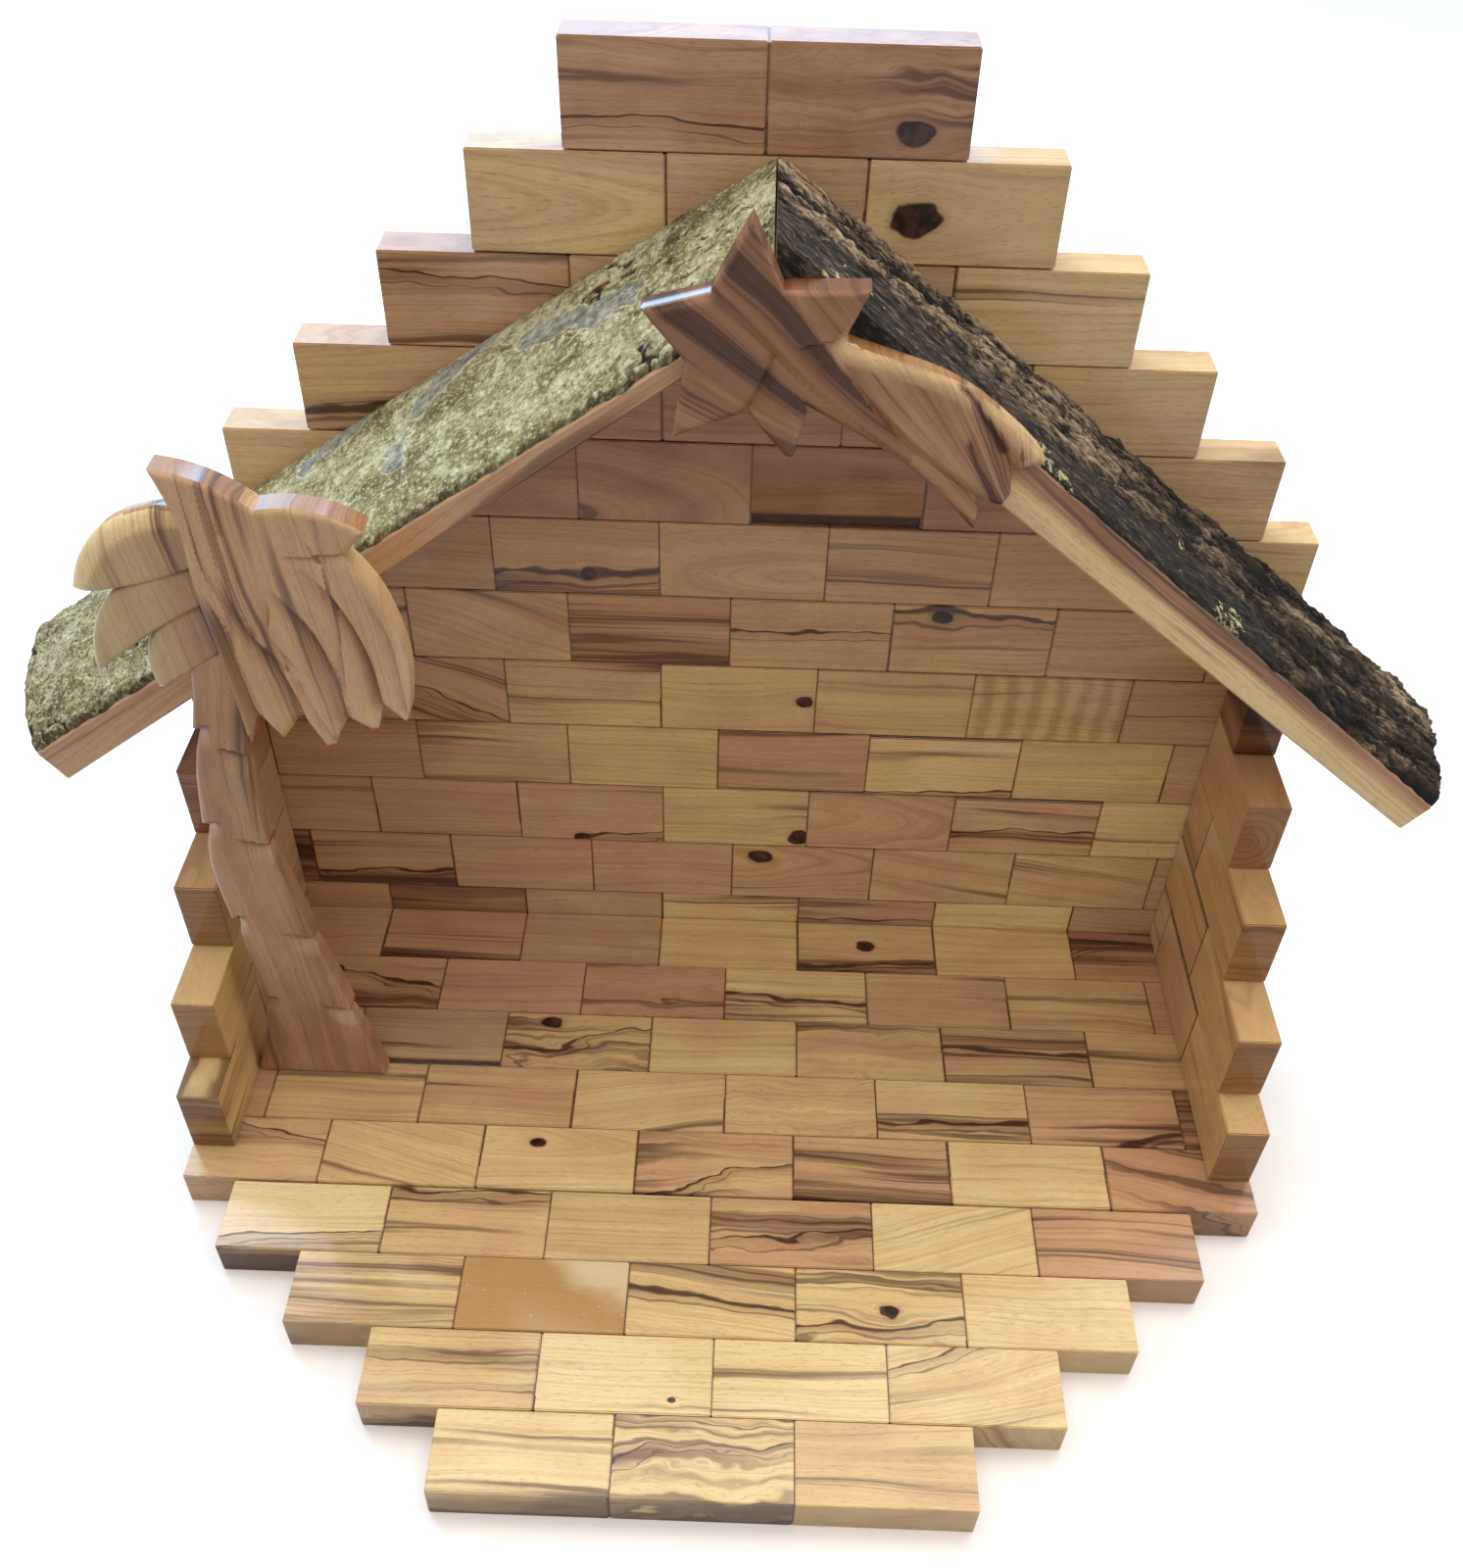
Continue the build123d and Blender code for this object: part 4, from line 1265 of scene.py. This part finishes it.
def carved_board(rim, height_at, place, creases=()):
    """A closed mesh of a flat-backed board; height_at gives its thickness, place sets it in the frame."""
    closed = np.vstack([rim, rim[:1]])
    spots, triangles = carving_net(rim, closed, creases)
    heights = height_at(spots, along_line(spots, closed)[0])
    shape = bmesh.new()
    front = [shape.verts.new(place(x, y, h)) for (x, y), h in zip(spots, heights)]
    for triangle in triangles:
        shape.faces.new([front[k] for k in triangle])
    outer = [e for e in shape.edges if len(e.link_faces) == 1]
    index = {vert: k for k, vert in enumerate(front)}
    back = {}
    for edge in outer:
        for vert in edge.verts:
            if vert not in back:
                x, y = spots[index[vert]]
                back[vert] = shape.verts.new(place(x, y, 0.0))
    rim_loop = {}
    for edge in outer:
        a, b = edge.verts
        shape.faces.new([a, b, back[b], back[a]])
        rim_loop.setdefault(back[a], []).append(back[b])
        rim_loop.setdefault(back[b], []).append(back[a])
    loop = [next(iter(rim_loop))]
    while len(loop) < len(rim_loop):
        following = [v for v in rim_loop[loop[-1]] if v not in loop[-2:]]
        loop.append(following[0])
    shape.faces.new(loop)
    for lonely in [v for v in shape.verts if not v.link_faces]:
        shape.verts.remove(lonely)
    bmesh.ops.recalc_face_normals(shape, faces=shape.faces)
    return shape


def upright(node, corner):
    """A function that sets a carved board's place, in millimetres, in the frame, from its solid's back."""
    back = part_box(node)[1].y

    def place(x, y, height):
        return Vector((corner[0] + x * MM, back - height * MM, corner[1] + y * MM))

    return place


# Palm tree

PALM_THICK = 6.5
TRUNK_THICK = 5.7
CROWN_EASE, TRUNK_EASE, FROND_EASE = (1.4, 0.8), (1.6, 0.9), (1.0, 0.5)
FROND_THICK = (5.2, 4.4, 3.6)
FROND_BEVELS = ((5.0, 2.4), (2.5, 1.0), (2.5, 1.0))
PALM_OFF_WALL = 0.3 * MM
TRUNK_MIDDLE = 70.0
TRUNK_LEFT = [(0, 0), (7, 29.2), (3.6, 75.2), (10, 122.2), (12.5, 132)]
TRUNK_RIGHT = [(34, 0), (26.2, 37.7), (18.4, 83.2), (19.9, 110.2), (22.5, 132)]
LEFT_NICKS = [29.0, 56.8, 86.8, 113.2]
RIGHT_NICKS = [25.2, 51.0, 80.9, 106.7]
NICK_DEPTH, NICK_TAPER, NICK_SLOPE = 2.4, 6.5, 0.3
NICK_INWARD = (4.2, 7.5)
NICK_WALL = (0.02, -0.3)
LEDGE_HALF = 0.05
TRUNK_SIDES = list(zip((TRUNK_LEFT, TRUNK_RIGHT), (LEFT_NICKS, RIGHT_NICKS), NICK_INWARD, (1, -1)))
NOTCH, NOTCH_TAPER = 1.2, 10.0
LEAF_TIPS = [(55.1, 118.1), (50.9, 122.5), (49.2, 116.1), (47.6, 115.7), (43.3, 118.4), (40.8, 114.7),
             (39.2, 111.2), (37.4, 110.9), (34.2, 117.4), (31.8, 116.9), (28.3, 112.6), (23.8, 119.4),
             (21.2, 111.1), (20.4, 113.4)]
CROWN = [bent((32.6, 165.9), (42.6, 166.2), (53, 162)), [(53, 162), (48, 156.7)],
         flowing([(48, 156.7), (54, 147.3), (57.3, 133), (56.3, 120.6), (55.1, 118.1)]), LEAF_TIPS,
         flowing([(20.4, 113.4), (19, 128.6), (17.4, 148), (17.5, 162), (14.4, 173.6)]),
         bent((14.4, 173.6), (23.6, 171.4), (32.6, 165.9))]
PLEATS = [[(37.8, 155.5), (44.8, 147.3), (49.6, 134.7), (50.9, 122.5)],
          [(30.7, 151.6), (40.1, 137.4), (43.3, 118.4)],
          [(23.3, 153.5), (25.8, 140.3), (30.9, 130.6), (34.2, 117.4)],
          [(19, 149), (20.9, 140.1), (23.8, 119.4)]]
LEAF_CREASES = [[(34.2, 130.3), (35.3, 123.3), (38.1, 116.0), (39.5, 112.5)],
                [(43.6, 145.3), (44.2, 137.6), (43.7, 126)],
                [(49.7, 150.9), (52.5, 144.6), (54.7, 136.9), (55.6, 121)],
                [(18.9, 135.5), (20.2, 129.2), (22, 116)],
                [(31.2, 149.1), (31.2, 143.7), (30.4, 138.2), (34.1, 131.6)],
                [(35.9, 156.0), (47.4, 156.8)]]
PLEAT_DEPTH, PLEAT_REACH, PLEAT_START, PLEAT_WALL = 2.9, 5.0, 0.45, 0.4
CREASE_DEPTH, CREASE_REACH, CREASE_START = 1.2, 2.6, 0.3
DARK_LINES = [[(19.6, 173.3), (20, 163.7), (20.5, 154.6), (22.8, 144.1), (22.3, 135.1)],
              [(23.6, 171.5), (23.8, 160.8), (24.7, 148.5), (26.4, 138.7), (32.5, 130.4)],
              [(25.8, 170.3), (25.5, 161.2)], [(40.3, 166.0), (41.1, 160.9), (42.8, 155.4)],
              [(44, 164.5), (44.4, 156.5), (44.3, 148.1), (44.3, 137.1)]]
LEAF_LINES = [flowing(line) for line in DARK_LINES]
LEAF_EDGES = [flowing(line) for line in PLEATS]
CROWN_CUTS = [(line, PLEAT_DEPTH, PLEAT_REACH, PLEAT_START) for line in PLEATS]
CROWN_CUTS += [(line, CREASE_DEPTH, CREASE_REACH, CREASE_START) for line in LEAF_CREASES]
UNDER_CROWN, UNDER_CROWN_DROP = (110.0, 122.0), 2.4
FRONDS = [[(18.6, 164.6), (1.6, 160), (-8.4, 146), (2, 147.6), (19.6, 153.4)],
          [(18.6, 152), (-4.5, 140.8), (-8.4, 126.4), (2, 134.4), (19.6, 144.8)],
          [(18.6, 144), (3.2, 132.7), (3, 122.3), (9.6, 126.2), (19.6, 132.8)]]
FROND_RIMS = [bent(*frond[:3]) for frond in FRONDS]
CROWN_MIDDLE = (32.0, 150.0)
CROWN_LEAN = 0.12

# Reach of dark lines, painted shade in the hollows and on the pleat edges, amber, the fronds' painted rim
# highlight and root shade, and the trunk's painted ledge shadow and scoop light: where each begins to show
# and where it is full
LINE_REACH, HOLLOW_SHADING_REACH, EDGE_SHADING_REACH, AMBER_REACH = (0.9, 0.2), (3.4, 0.2), (0.8, 0.2), (146, 120)
RIM_HIGHLIGHT_REACH, ROOT_SHADING_REACH, ROOT_HEART_REACH = (4.5, 2.5), (5, 19), (9, 19)
LEDGE_SHADOW_REACH, SCOOP_LIGHT_REACH, LEDGE_TOP = (1.8, 0.2), (7.0, 2.5), -0.3


def rounded(distance, radius, depth):
    """How much a rim that is eased over a width takes away."""
    return depth * np.clip(1 - distance / radius, 0, 1) ** 2


def edge_at(edge, y):
    """How far across a trunk's edge lies at a height."""
    return np.interp(y, [p[1] for p in edge], [p[0] for p in edge])


def crown_height(spots, off_rim):
    """Thickness of the crown, with a step at each pleat and crease that fades to one side."""
    height = PALM_THICK - rounded(off_rim, *CROWN_EASE)
    drops = np.zeros(len(spots))
    for line, depth, reach, start in CROWN_CUTS:
        gap, side, share = along_line(spots, flowing(line))
        fade = np.where(side < 0, 1 - np.clip(gap / reach, 0, 1), 1 - eased(gap, 0, PLEAT_WALL))
        drops = np.maximum(drops, depth * eased(share, 0.0, start) * fade)
    return height - drops


def crown_grain_at(x, y):
    """Millimetres along and across the crown's grain, which leans a little, at a place on its board."""
    x, y = x - CROWN_MIDDLE[0], y - CROWN_MIDDLE[1]
    return CROWN_LEAN * x - y, x + CROWN_LEAN * y


def crown_place_of(grain):
    """The place on the crown's board, back from its grain."""
    along, across = grain[0], grain[1]
    spread = 1 + CROWN_LEAN * CROWN_LEAN
    x = (across + CROWN_LEAN * along) / spread
    y = (CROWN_LEAN * across - along) / spread
    return x + CROWN_MIDDLE[0], y + CROWN_MIDDLE[1]


class Leaves(Cut):
    """Wood of the crown: dark lines down its leaves, painted shade in the hollows beside its pleats and
    along their edges, and amber tips.
    """

    def values(self, grain):
        found = super().values(grain)
        x, y = crown_place_of(grain)
        spot = np.array([(x, y)])
        line = min(along_line(spot, points)[0][0] for points in LEAF_LINES)
        hollow_shade = edge = 0.0
        for points in LEAF_EDGES:
            gap, side, share = along_line(spot, points)
            shown = smooth(share[0], 0.0, 0.4)
            if side[0] < 0:
                hollow_shade = max(hollow_shade, smooth(gap[0], *HOLLOW_SHADING_REACH) * shown)
            edge = max(edge, smooth(gap[0], *EDGE_SHADING_REACH) * shown)
        blotch = 0.5 + drift_at(x, y, (0.12, 0.05), 2.0)
        # Painted shade: darker wood in the hollow beside each pleat and along its edge
        found["heart"] += 0.4 * smooth(line, *LINE_REACH) + 0.22 * hollow_shade + 0.35 * edge
        found["tone"] += 0.55 * hollow_shade
        found["resin"] = min(max(blotch, 0.0), 1.0) * 0.75 * smooth(y, *AMBER_REACH)
        return found


class Shingle(Cut):
    """Wood of a frond: a painted highlight along the topmost's outer edge, and painted shade towards the
    crown over its root, with more dark heart there.
    """

    def values(self, grain):
        found = super().values(grain)
        x, y = crown_place_of(grain)
        pale = smooth(along_line(np.array([(x, y)]), FROND_RIMS[0])[0][0], *RIM_HIGHLIGHT_REACH)
        # Painted highlight on the top frond's rim, less grey there, and painted shade towards the crown
        found["tone"] += 0.4 * smooth(x, *ROOT_SHADING_REACH) - 0.3 * pale
        found["grey"] -= 0.5 * pale
        found["heart"] += 0.2 * smooth(x, *ROOT_HEART_REACH)
        return found


def frond_height(order):
    """A function for the thickness of a frond, bevelled along its outer edge."""
    def height(spots, off_rim):
        bevel = rounded(along_line(spots, FROND_RIMS[order])[0], *FROND_BEVELS[order])
        return FROND_THICK[order] - bevel - rounded(off_rim, *FROND_EASE)

    return height


def trunk_height(spots, off_rim):
    """Thickness of the trunk, scooped out under each nick's ledge and let in under the crown."""
    let_in = UNDER_CROWN_DROP * eased(spots[:, 1], *UNDER_CROWN)
    height = TRUNK_THICK - rounded(off_rim, *TRUNK_EASE) - let_in
    drops = np.zeros(len(spots))
    for flank, nicks, reach, _ in TRUNK_SIDES:
        inset = along_line(spots, flowing(flank))[0]
        for nick in nicks:
            below = nick + NICK_SLOPE * inset - spots[:, 1]
            scoop = np.where(below > 0, 1 - eased(below, 0, NICK_TAPER), 0)
            drops = np.maximum(drops, NICK_DEPTH * scoop * (1 - eased(inset, reach * 0.3, reach)))
    return height - drops


def notched(edge, nicks, inward):
    """A trunk's edge, low end first, with a step under each nick that runs out further down."""
    ledges = [nick + lift for nick in nicks for lift in (LEDGE_HALF, -LEDGE_HALF)]
    line = []
    for y in sorted([*(p[1] for p in edge), *ledges]):
        below = min((nick - y for nick in nicks if nick > y), default=NOTCH_TAPER)
        step = inward * NOTCH * max(0.0, 1 - below / NOTCH_TAPER)
        line.append((edge_at(edge, y) + step, y))
    return line


class Trunk(Cut):
    """Wood of the trunk, with painted shadow right under the ledge of each nick and painted light on the
    scooped-out facet below it.
    """

    def values(self, grain):
        found = super().values(grain)
        y = TRUNK_MIDDLE - grain[0]
        half = (edge_at(TRUNK_RIGHT, y) - edge_at(TRUNK_LEFT, y)) / 2
        insets = (half + grain[1], half - grain[1])
        shade = scoop = 0.0
        for (_, nicks, reach, _), inset in zip(TRUNK_SIDES, insets):
            for nick in nicks:
                below = nick + NICK_SLOPE * inset - y
                if below > LEDGE_TOP:
                    shown = smooth(inset, reach, 0.4 * reach)
                    shade = max(shade, smooth(below, *LEDGE_SHADOW_REACH) * shown)
                    scoop = max(scoop, smooth(below, *SCOOP_LIGHT_REACH) * shown)
        # Painted shadow under each ledge and painted light on the scooped facet below
        found["tone"] += 0.7 * shade - 0.25 * scoop * (1 - shade)
        found["heart"] += 0.4 * shade
        return found


def nick_lines():
    """The ledges over the nicks, twice, so that each has a crisp wall."""
    lines = []
    for flank, nicks, reach, sign in TRUNK_SIDES:
        for nick in nicks:
            x = edge_at(flowing(flank), nick)
            for y in (nick + lift for lift in NICK_WALL):
                lines.append([(x, y), (x + sign * reach, y + NICK_SLOPE * reach)])
    return lines


def palm_piece():
    """The palm: a trunk, three fronds at the left that lie like shingles, and a pleated crown over them."""
    node = "palm_tree"
    wall_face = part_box("left_wall_course_1")[1].x
    corner = (wall_face + PALM_OFF_WALL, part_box(node)[0].z)
    place = upright(node, corner)
    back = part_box(node)[1].y

    def spot(point):
        return ((point.x - corner[0]) / MM, (point.z - corner[1]) / MM, (back - point.y) / MM)

    def crown_grain(point):
        x, y, depth = spot(point)
        return (*crown_grain_at(x, y), PALM_THICK - depth)

    def trunk_grain(point):
        x, y, depth = spot(point)
        middle = (edge_at(TRUNK_LEFT, y) + edge_at(TRUNK_RIGHT, y)) / 2
        return (TRUNK_MIDDLE - y, x - middle, TRUNK_THICK - depth)

    pile = Pile()
    left_edge, right_edge = (notched(flowing(flank), nicks, sign) for flank, nicks, _, sign in TRUNK_SIDES)
    trunk_rim = chained(left_edge, right_edge[::-1])
    trunk = carved_board(trunk_rim, trunk_height, place, nick_lines())
    # The trunk's grey is painted cool light
    pile.take(trunk, trunk_grain, Trunk(tone=0.78, grey=0.45, heart=0.08, seed=5.0))
    for order, points in enumerate(FRONDS):
        rim = chained(FROND_RIMS[order], bent(*points[2:]))
        frond = carved_board(rim, frond_height(order), place)
        # The fronds' grey is painted cool light
        pile.take(frond, crown_grain, Shingle(tone=0.22, grey=0.6, heart=0.06, seed=11.0 + order), Z)
    walls = []
    for points, *_ in CROWN_CUTS:
        line = flowing(points)
        walls += [line, [(x + PLEAT_WALL, y) for x, y in line]]
    crown = carved_board(chained(*CROWN), crown_height, place, walls)
    pile.take(crown, crown_grain, Leaves(tone=0.52, heart=0.24, lean=(0.0, -0.010), seed=21.0), Z)
    return dressed(pile.finished("dressed_palm_tree", [PALM_WOOD], CARVED_ANGLE), node)


PALM_WOOD = lacquered("palm_olive", 0.4, 0.25, 0.15, end_coat=1.0)
palm_piece()


# Comet

STAR_THICK = 6.0
TAIL_DROP = 2.2
COMET_OFF_RIDGE = (-5.0, -1.6)
STAR_LEFT = [(0.9, 21.2), (-6.3, 8.5), (-19, 5.2), (-10.8, -4.1), (-13.4, -18.8), (0.8, -13.1),
             (8.8, -22.4), (10.1, -22), (12, -13.1), (11.7, -11.4)]
TAIL_LOWER = [(11.7, -11.4), (27, -20.4), (38, -28.6), (47.1, -37.4)]
TAIL_TIPS = [(47.3, -31), (51.9, -31.8), (53.2, -29.3), (52.9, -24.2), (56.8, -23.5)]
TAIL_UPPER = [(56.8, -23.5), (58.8, -21.9), (51.5, -14.8), (39, -6.7), (19, -0.2)]
STAR_RIGHT = [(18.1, 1.0), (22.4, 9.9), (6.7, 9.4)]
TAIL_GROOVES = [[(16.1, -0.2), (20.1, -6.1), (29.6, -18.2), (36.8, -23.9), (47.3, -31)],
                [(41.2, -7.6), (45.8, -14.1), (52.9, -24.2)]]
ARM_STEP = [(7.4, -2.2), (11.1, -1.0), (18.1, 1.0)]
STAR_CREASE = [(5.4, -1.2), (5, -4.3), (3, -9), (0.8, -13.1)]
DARK_STROKES = [[(40.5, -7.7), (43.6, -10.9), (47.7, -16.4), (50.5, -20.4)],
                [(43.6, -18.9), (46.3, -24.1), (48.9, -28.2), (51.1, -31.6)]]
GROOVE_DEPTH, GROOVE_REACH = 1.2, 1.8
COMET_EASE, TAIL_BEVEL, ARM_BEVEL = (1.3, 0.8), (2.6, 0.7), (2.8, 0.9)
TAIL_START, TAIL_HEADING, TAIL_RUN = (16.0, -4.0), (0.72, -0.69), 30
ARM_STEP_DEPTH, ARM_STEP_REACH, ARM_STEP_WALL = 0.9, 6.0, 0.5
GRAIN_FAN = (60.0, -45.0)


def comet_height(spots, off_rim):
    """Thickness of the comet: the tail falls away from the star, grooved, with a step beside one arm."""
    x, y = spots.T
    beyond = (x - TAIL_START[0]) * TAIL_HEADING[0] + (y - TAIL_START[1]) * TAIL_HEADING[1]
    height = STAR_THICK - TAIL_DROP * eased(beyond, 0, TAIL_RUN) - rounded(off_rim, *COMET_EASE)
    height -= rounded(along_line(spots, TAIL_UPPER)[0], *TAIL_BEVEL)
    height -= rounded(along_line(spots, STAR_LEFT[1:3])[0], *ARM_BEVEL)
    gap, side, share = along_line(spots, flowing(ARM_STEP))
    below = 1 - eased(gap, 0, np.where(side < 0, ARM_STEP_REACH, ARM_STEP_WALL))
    drops = ARM_STEP_DEPTH * below * eased(share, 0.05, 0.4)
    for line in TAIL_GROOVES + [STAR_CREASE]:
        gap, _, share = along_line(spots, flowing(line))
        groove = GROOVE_DEPTH * eased(share, 0, 0.2) * (1 - np.clip(gap / GROOVE_REACH, 0, 1))
        drops = np.maximum(drops, groove)
    return height - drops


FAN_MIDDLE = math.radians(138)
FAN_WIDTH = 70.0
HEART_FROM = ((-89, -7.7), (-66, -3.6), (-44, -0.5), (-30, 5.0))
HEART_TO = 10.4
STROKE_LINES = [flowing(line) for line in DARK_STROKES]
TAIL_RIM = flowing(TAIL_UPPER)
BLACK_BAND, BLACK_REACH, BLACK_RUN = 9.0, (1.3, 0.6), (-34, -48)
PALE_STREAK, STREAK_REACH = 5.5, (1.0, 0.5)
TAIL_WOOD_RUN, GOLDEN_REACH = (-24, -40), (3.4, 1.4)


class Fan(Cut):
    """Wood of the comet: dark heart in a fan from the tail's tip, with yellow wood above and rosy below."""

    def values(self, grain):
        found = super().values(grain)
        along, across = grain[0], grain[1]
        turn = FAN_MIDDLE + across / FAN_WIDTH
        x, y = GRAIN_FAN[0] - along * math.cos(turn), GRAIN_FAN[1] - along * math.sin(turn)
        spot = np.array([(x, y)])
        stroke = 0.0
        for line in STROKE_LINES:
            gap, _, share = along_line(spot, line)
            breadth = 0.6 + 0.6 * share[0]
            stroke = max(stroke, smooth(gap[0], breadth, 0.3 * breadth))
        tail = smooth(along, *TAIL_WOOD_RUN)
        edge = np.interp(along, *zip(*HEART_FROM))
        heart = smooth(across, edge - 0.4, edge + 0.8) * tail
        heart *= smooth(across, HEART_TO + 0.4, HEART_TO - 0.6)
        black = smooth(abs(across - BLACK_BAND), *BLACK_REACH) * smooth(along, *BLACK_RUN)
        pale = smooth(abs(across - PALE_STREAK), *STREAK_REACH) * tail
        below = smooth(across, HEART_TO - 0.5, HEART_TO + 1.0)
        golden = smooth(along_line(spot, TAIL_RIM)[0][0], *GOLDEN_REACH)
        arm = smooth(x, 8, 13) * smooth(y, -1.5, 1.5)
        found["heart"] += 0.5 * heart + 0.5 * black - 0.4 * pale + 0.9 * stroke - 0.4 * golden
        found["tone"] += 0.4 * heart * (1 - 0.8 * pale) + 0.1 * below - 0.5 * golden + 0.15 * arm
        return found


def comet_piece():
    """The comet, carved out of one board and set against the front of the slabs at the ridge."""
    node = "comet_star"
    ridge = (left_slope.origin + right_slope.origin) / 2
    corner = (ridge.x + COMET_OFF_RIDGE[0] * MM, ridge.z + COMET_OFF_RIDGE[1] * MM)
    place = upright(node, corner)
    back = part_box(node)[1].y

    def fan_grain(point):
        x = (point.x - corner[0]) / MM - GRAIN_FAN[0]
        y = (point.z - corner[1]) / MM - GRAIN_FAN[1]
        across = (math.atan2(y, x) - FAN_MIDDLE) * FAN_WIDTH
        return (-math.hypot(x, y), across, STAR_THICK - (back - point.y) / MM)

    rim = chained(STAR_LEFT, flowing(TAIL_LOWER), TAIL_TIPS, flowing(TAIL_UPPER), STAR_RIGHT)
    creases = [flowing(line) for line in TAIL_GROOVES + [STAR_CREASE, ARM_STEP]]
    shape = carved_board(rim, comet_height, place, creases)
    pile = Pile()
    pile.take(shape, fan_grain, Fan(tone=0.88, heart=0.48, seed=7.0), Z)
    return dressed(pile.finished("dressed_comet_star", [COMET_WOOD], CARVED_ANGLE), node)


COMET_WOOD = lacquered("comet_olive", 0.4, 0.2, 0.15, end_coat=1.0)
comet_piece()


# Floor, light and camera

def looked_at(n):
    """1 where a thing is seen, straight, in gloss or through glass, and 0 where it only lights others."""
    path = n.add("ShaderNodeLightPath").outputs
    seen = n.maths("MAXIMUM", path["Is Camera Ray"], path["Is Glossy Ray"])
    return n.maths("MAXIMUM", seen, path["Is Transmission Ray"])


FLOOR_REACH = 6.0
FLOOR_SEEN, FLOOR_UNSEEN = (0.95, 0.95, 0.95), (0.30, 0.29, 0.28)
FLOOR_GLOW = (0.14, 0.10, 0.07)
SKY_SEEN, SKY_UNSEEN = (1.0, 1.0, 1.0), (0.31, 0.32, 0.34)
NO_LIGHT = (0.0, 0.0, 0.0)

# Name, place, what it points at, width and height, power, colour
LAMPS = [
    ("overhead", (0.0, 0.4, 1.1), (0, -0.05, 0.05), (1.2, 0.8), 11.0, (1.0, 0.97, 0.92)),
    ("window_behind", (-0.45, 1.15, 1.36), (0, 0, 0.15), (1.2, 0.5), 18.0, (0.34, 0.66, 1.0)),
    ("low_window", (-0.45, 1.3, 0.68), (0, 0, 0.15), (1.5, 0.48), 7.0, (0.25, 0.6, 1.0)),
    ("fill_in_front", (0.0, -0.85, 1.15), (0, 0, 0.12), (1.2, 0.7), 4.6, (1.0, 0.95, 0.90)),
    ("fill_at_left", (-1.1, -0.2, 0.7), (0, 0, 0.12), (0.8, 0.8), 3.0, (1.0, 0.97, 0.94)),
    ("fill_at_right", (1.1, -0.2, 0.7), (0, 0, 0.12), (0.8, 0.8), 4.0, (1.0, 0.97, 0.94))
]


def pale_floor():
    """A floor that is white to the camera, keeps the stable's shadow and throws little light back up."""
    mesh = bpy.data.meshes.new("pale_floor")
    signs = ((-1, -1), (1, -1), (1, 1), (-1, 1))
    mesh.from_pydata([(x * FLOOR_REACH, y * FLOOR_REACH, 0) for x, y in signs], [], [(0, 1, 2, 3)])
    floor = bpy.data.objects.new("pale_floor", mesh)
    bpy.context.scene.collection.objects.link(floor)
    material, n, shader = new_finish("pale_floor")
    n.put(shader.inputs["Base Color"], n.mix(looked_at(n), FLOOR_UNSEEN, FLOOR_SEEN))
    n.put(shader.inputs["Emission Color"], n.mix(looked_at(n), NO_LIGHT, FLOOR_GLOW))
    shader.inputs["Emission Strength"].default_value = 1.0
    shader.inputs["Roughness"].default_value = 0.9
    shader.inputs["Specular IOR Level"].default_value = 0.0
    mesh.materials.append(material)


def lamp(name, place, target, size, power, colour):
    """A soft rectangular lamp."""
    light = bpy.data.lights.new(name, "AREA")
    light.shape = "RECTANGLE"
    light.size, light.size_y = size
    light.energy = power
    light.color = colour
    holder = bpy.data.objects.new(name, light)
    holder.location = place
    holder.rotation_euler = (Vector(target) - Vector(place)).to_track_quat("-Z", "Y").to_euler()
    bpy.context.scene.collection.objects.link(holder)


def sky():
    """White to the camera, and a plain soft light to the rest."""
    world = bpy.data.worlds.new("studio")
    bpy.context.scene.world = world
    world.use_nodes = True
    n = Nodes(world.node_tree)
    shade = world.node_tree.nodes["Background"]
    n.put(shade.inputs["Color"], n.mix(looked_at(n), SKY_UNSEEN, SKY_SEEN))


def camera():
    """The photograph's view, solved from the brick joints; the picture's middle lies off the lens axis."""
    picture_height = 1600
    focal = 1533.5
    axis_left, axis_low = 8.7, 202.9
    place = Vector((1.31, -271.44, 323.13)) * MM
    pitch, yaw, roll = (math.radians(a) for a in (-46.644, -0.494, 1.622))
    ahead = Vector((math.sin(yaw) * math.cos(pitch), math.cos(yaw) * math.cos(pitch), math.sin(pitch)))
    level = Vector((math.cos(yaw), -math.sin(yaw), 0.0))
    upright = level.cross(ahead)
    right = level * math.cos(roll) + upright * math.sin(roll)
    up = upright * math.cos(roll) - level * math.sin(roll)
    lens = bpy.data.cameras.new("view")
    lens.sensor_width = 36.0
    lens.lens = focal / picture_height * lens.sensor_width
    lens.shift_x = axis_left / picture_height
    lens.shift_y = axis_low / picture_height
    lens.clip_start = 0.01
    holder = bpy.data.objects.new("view", lens)
    holder.matrix_world = Matrix.Translation(place) @ Matrix((right, up, -ahead)).transposed().to_4x4()
    bpy.context.scene.collection.objects.link(holder)
    bpy.context.scene.camera = holder


pale_floor()
sky()
for row in LAMPS:
    lamp(*row)
camera()
bpy.context.scene.view_settings.view_transform = "Standard"
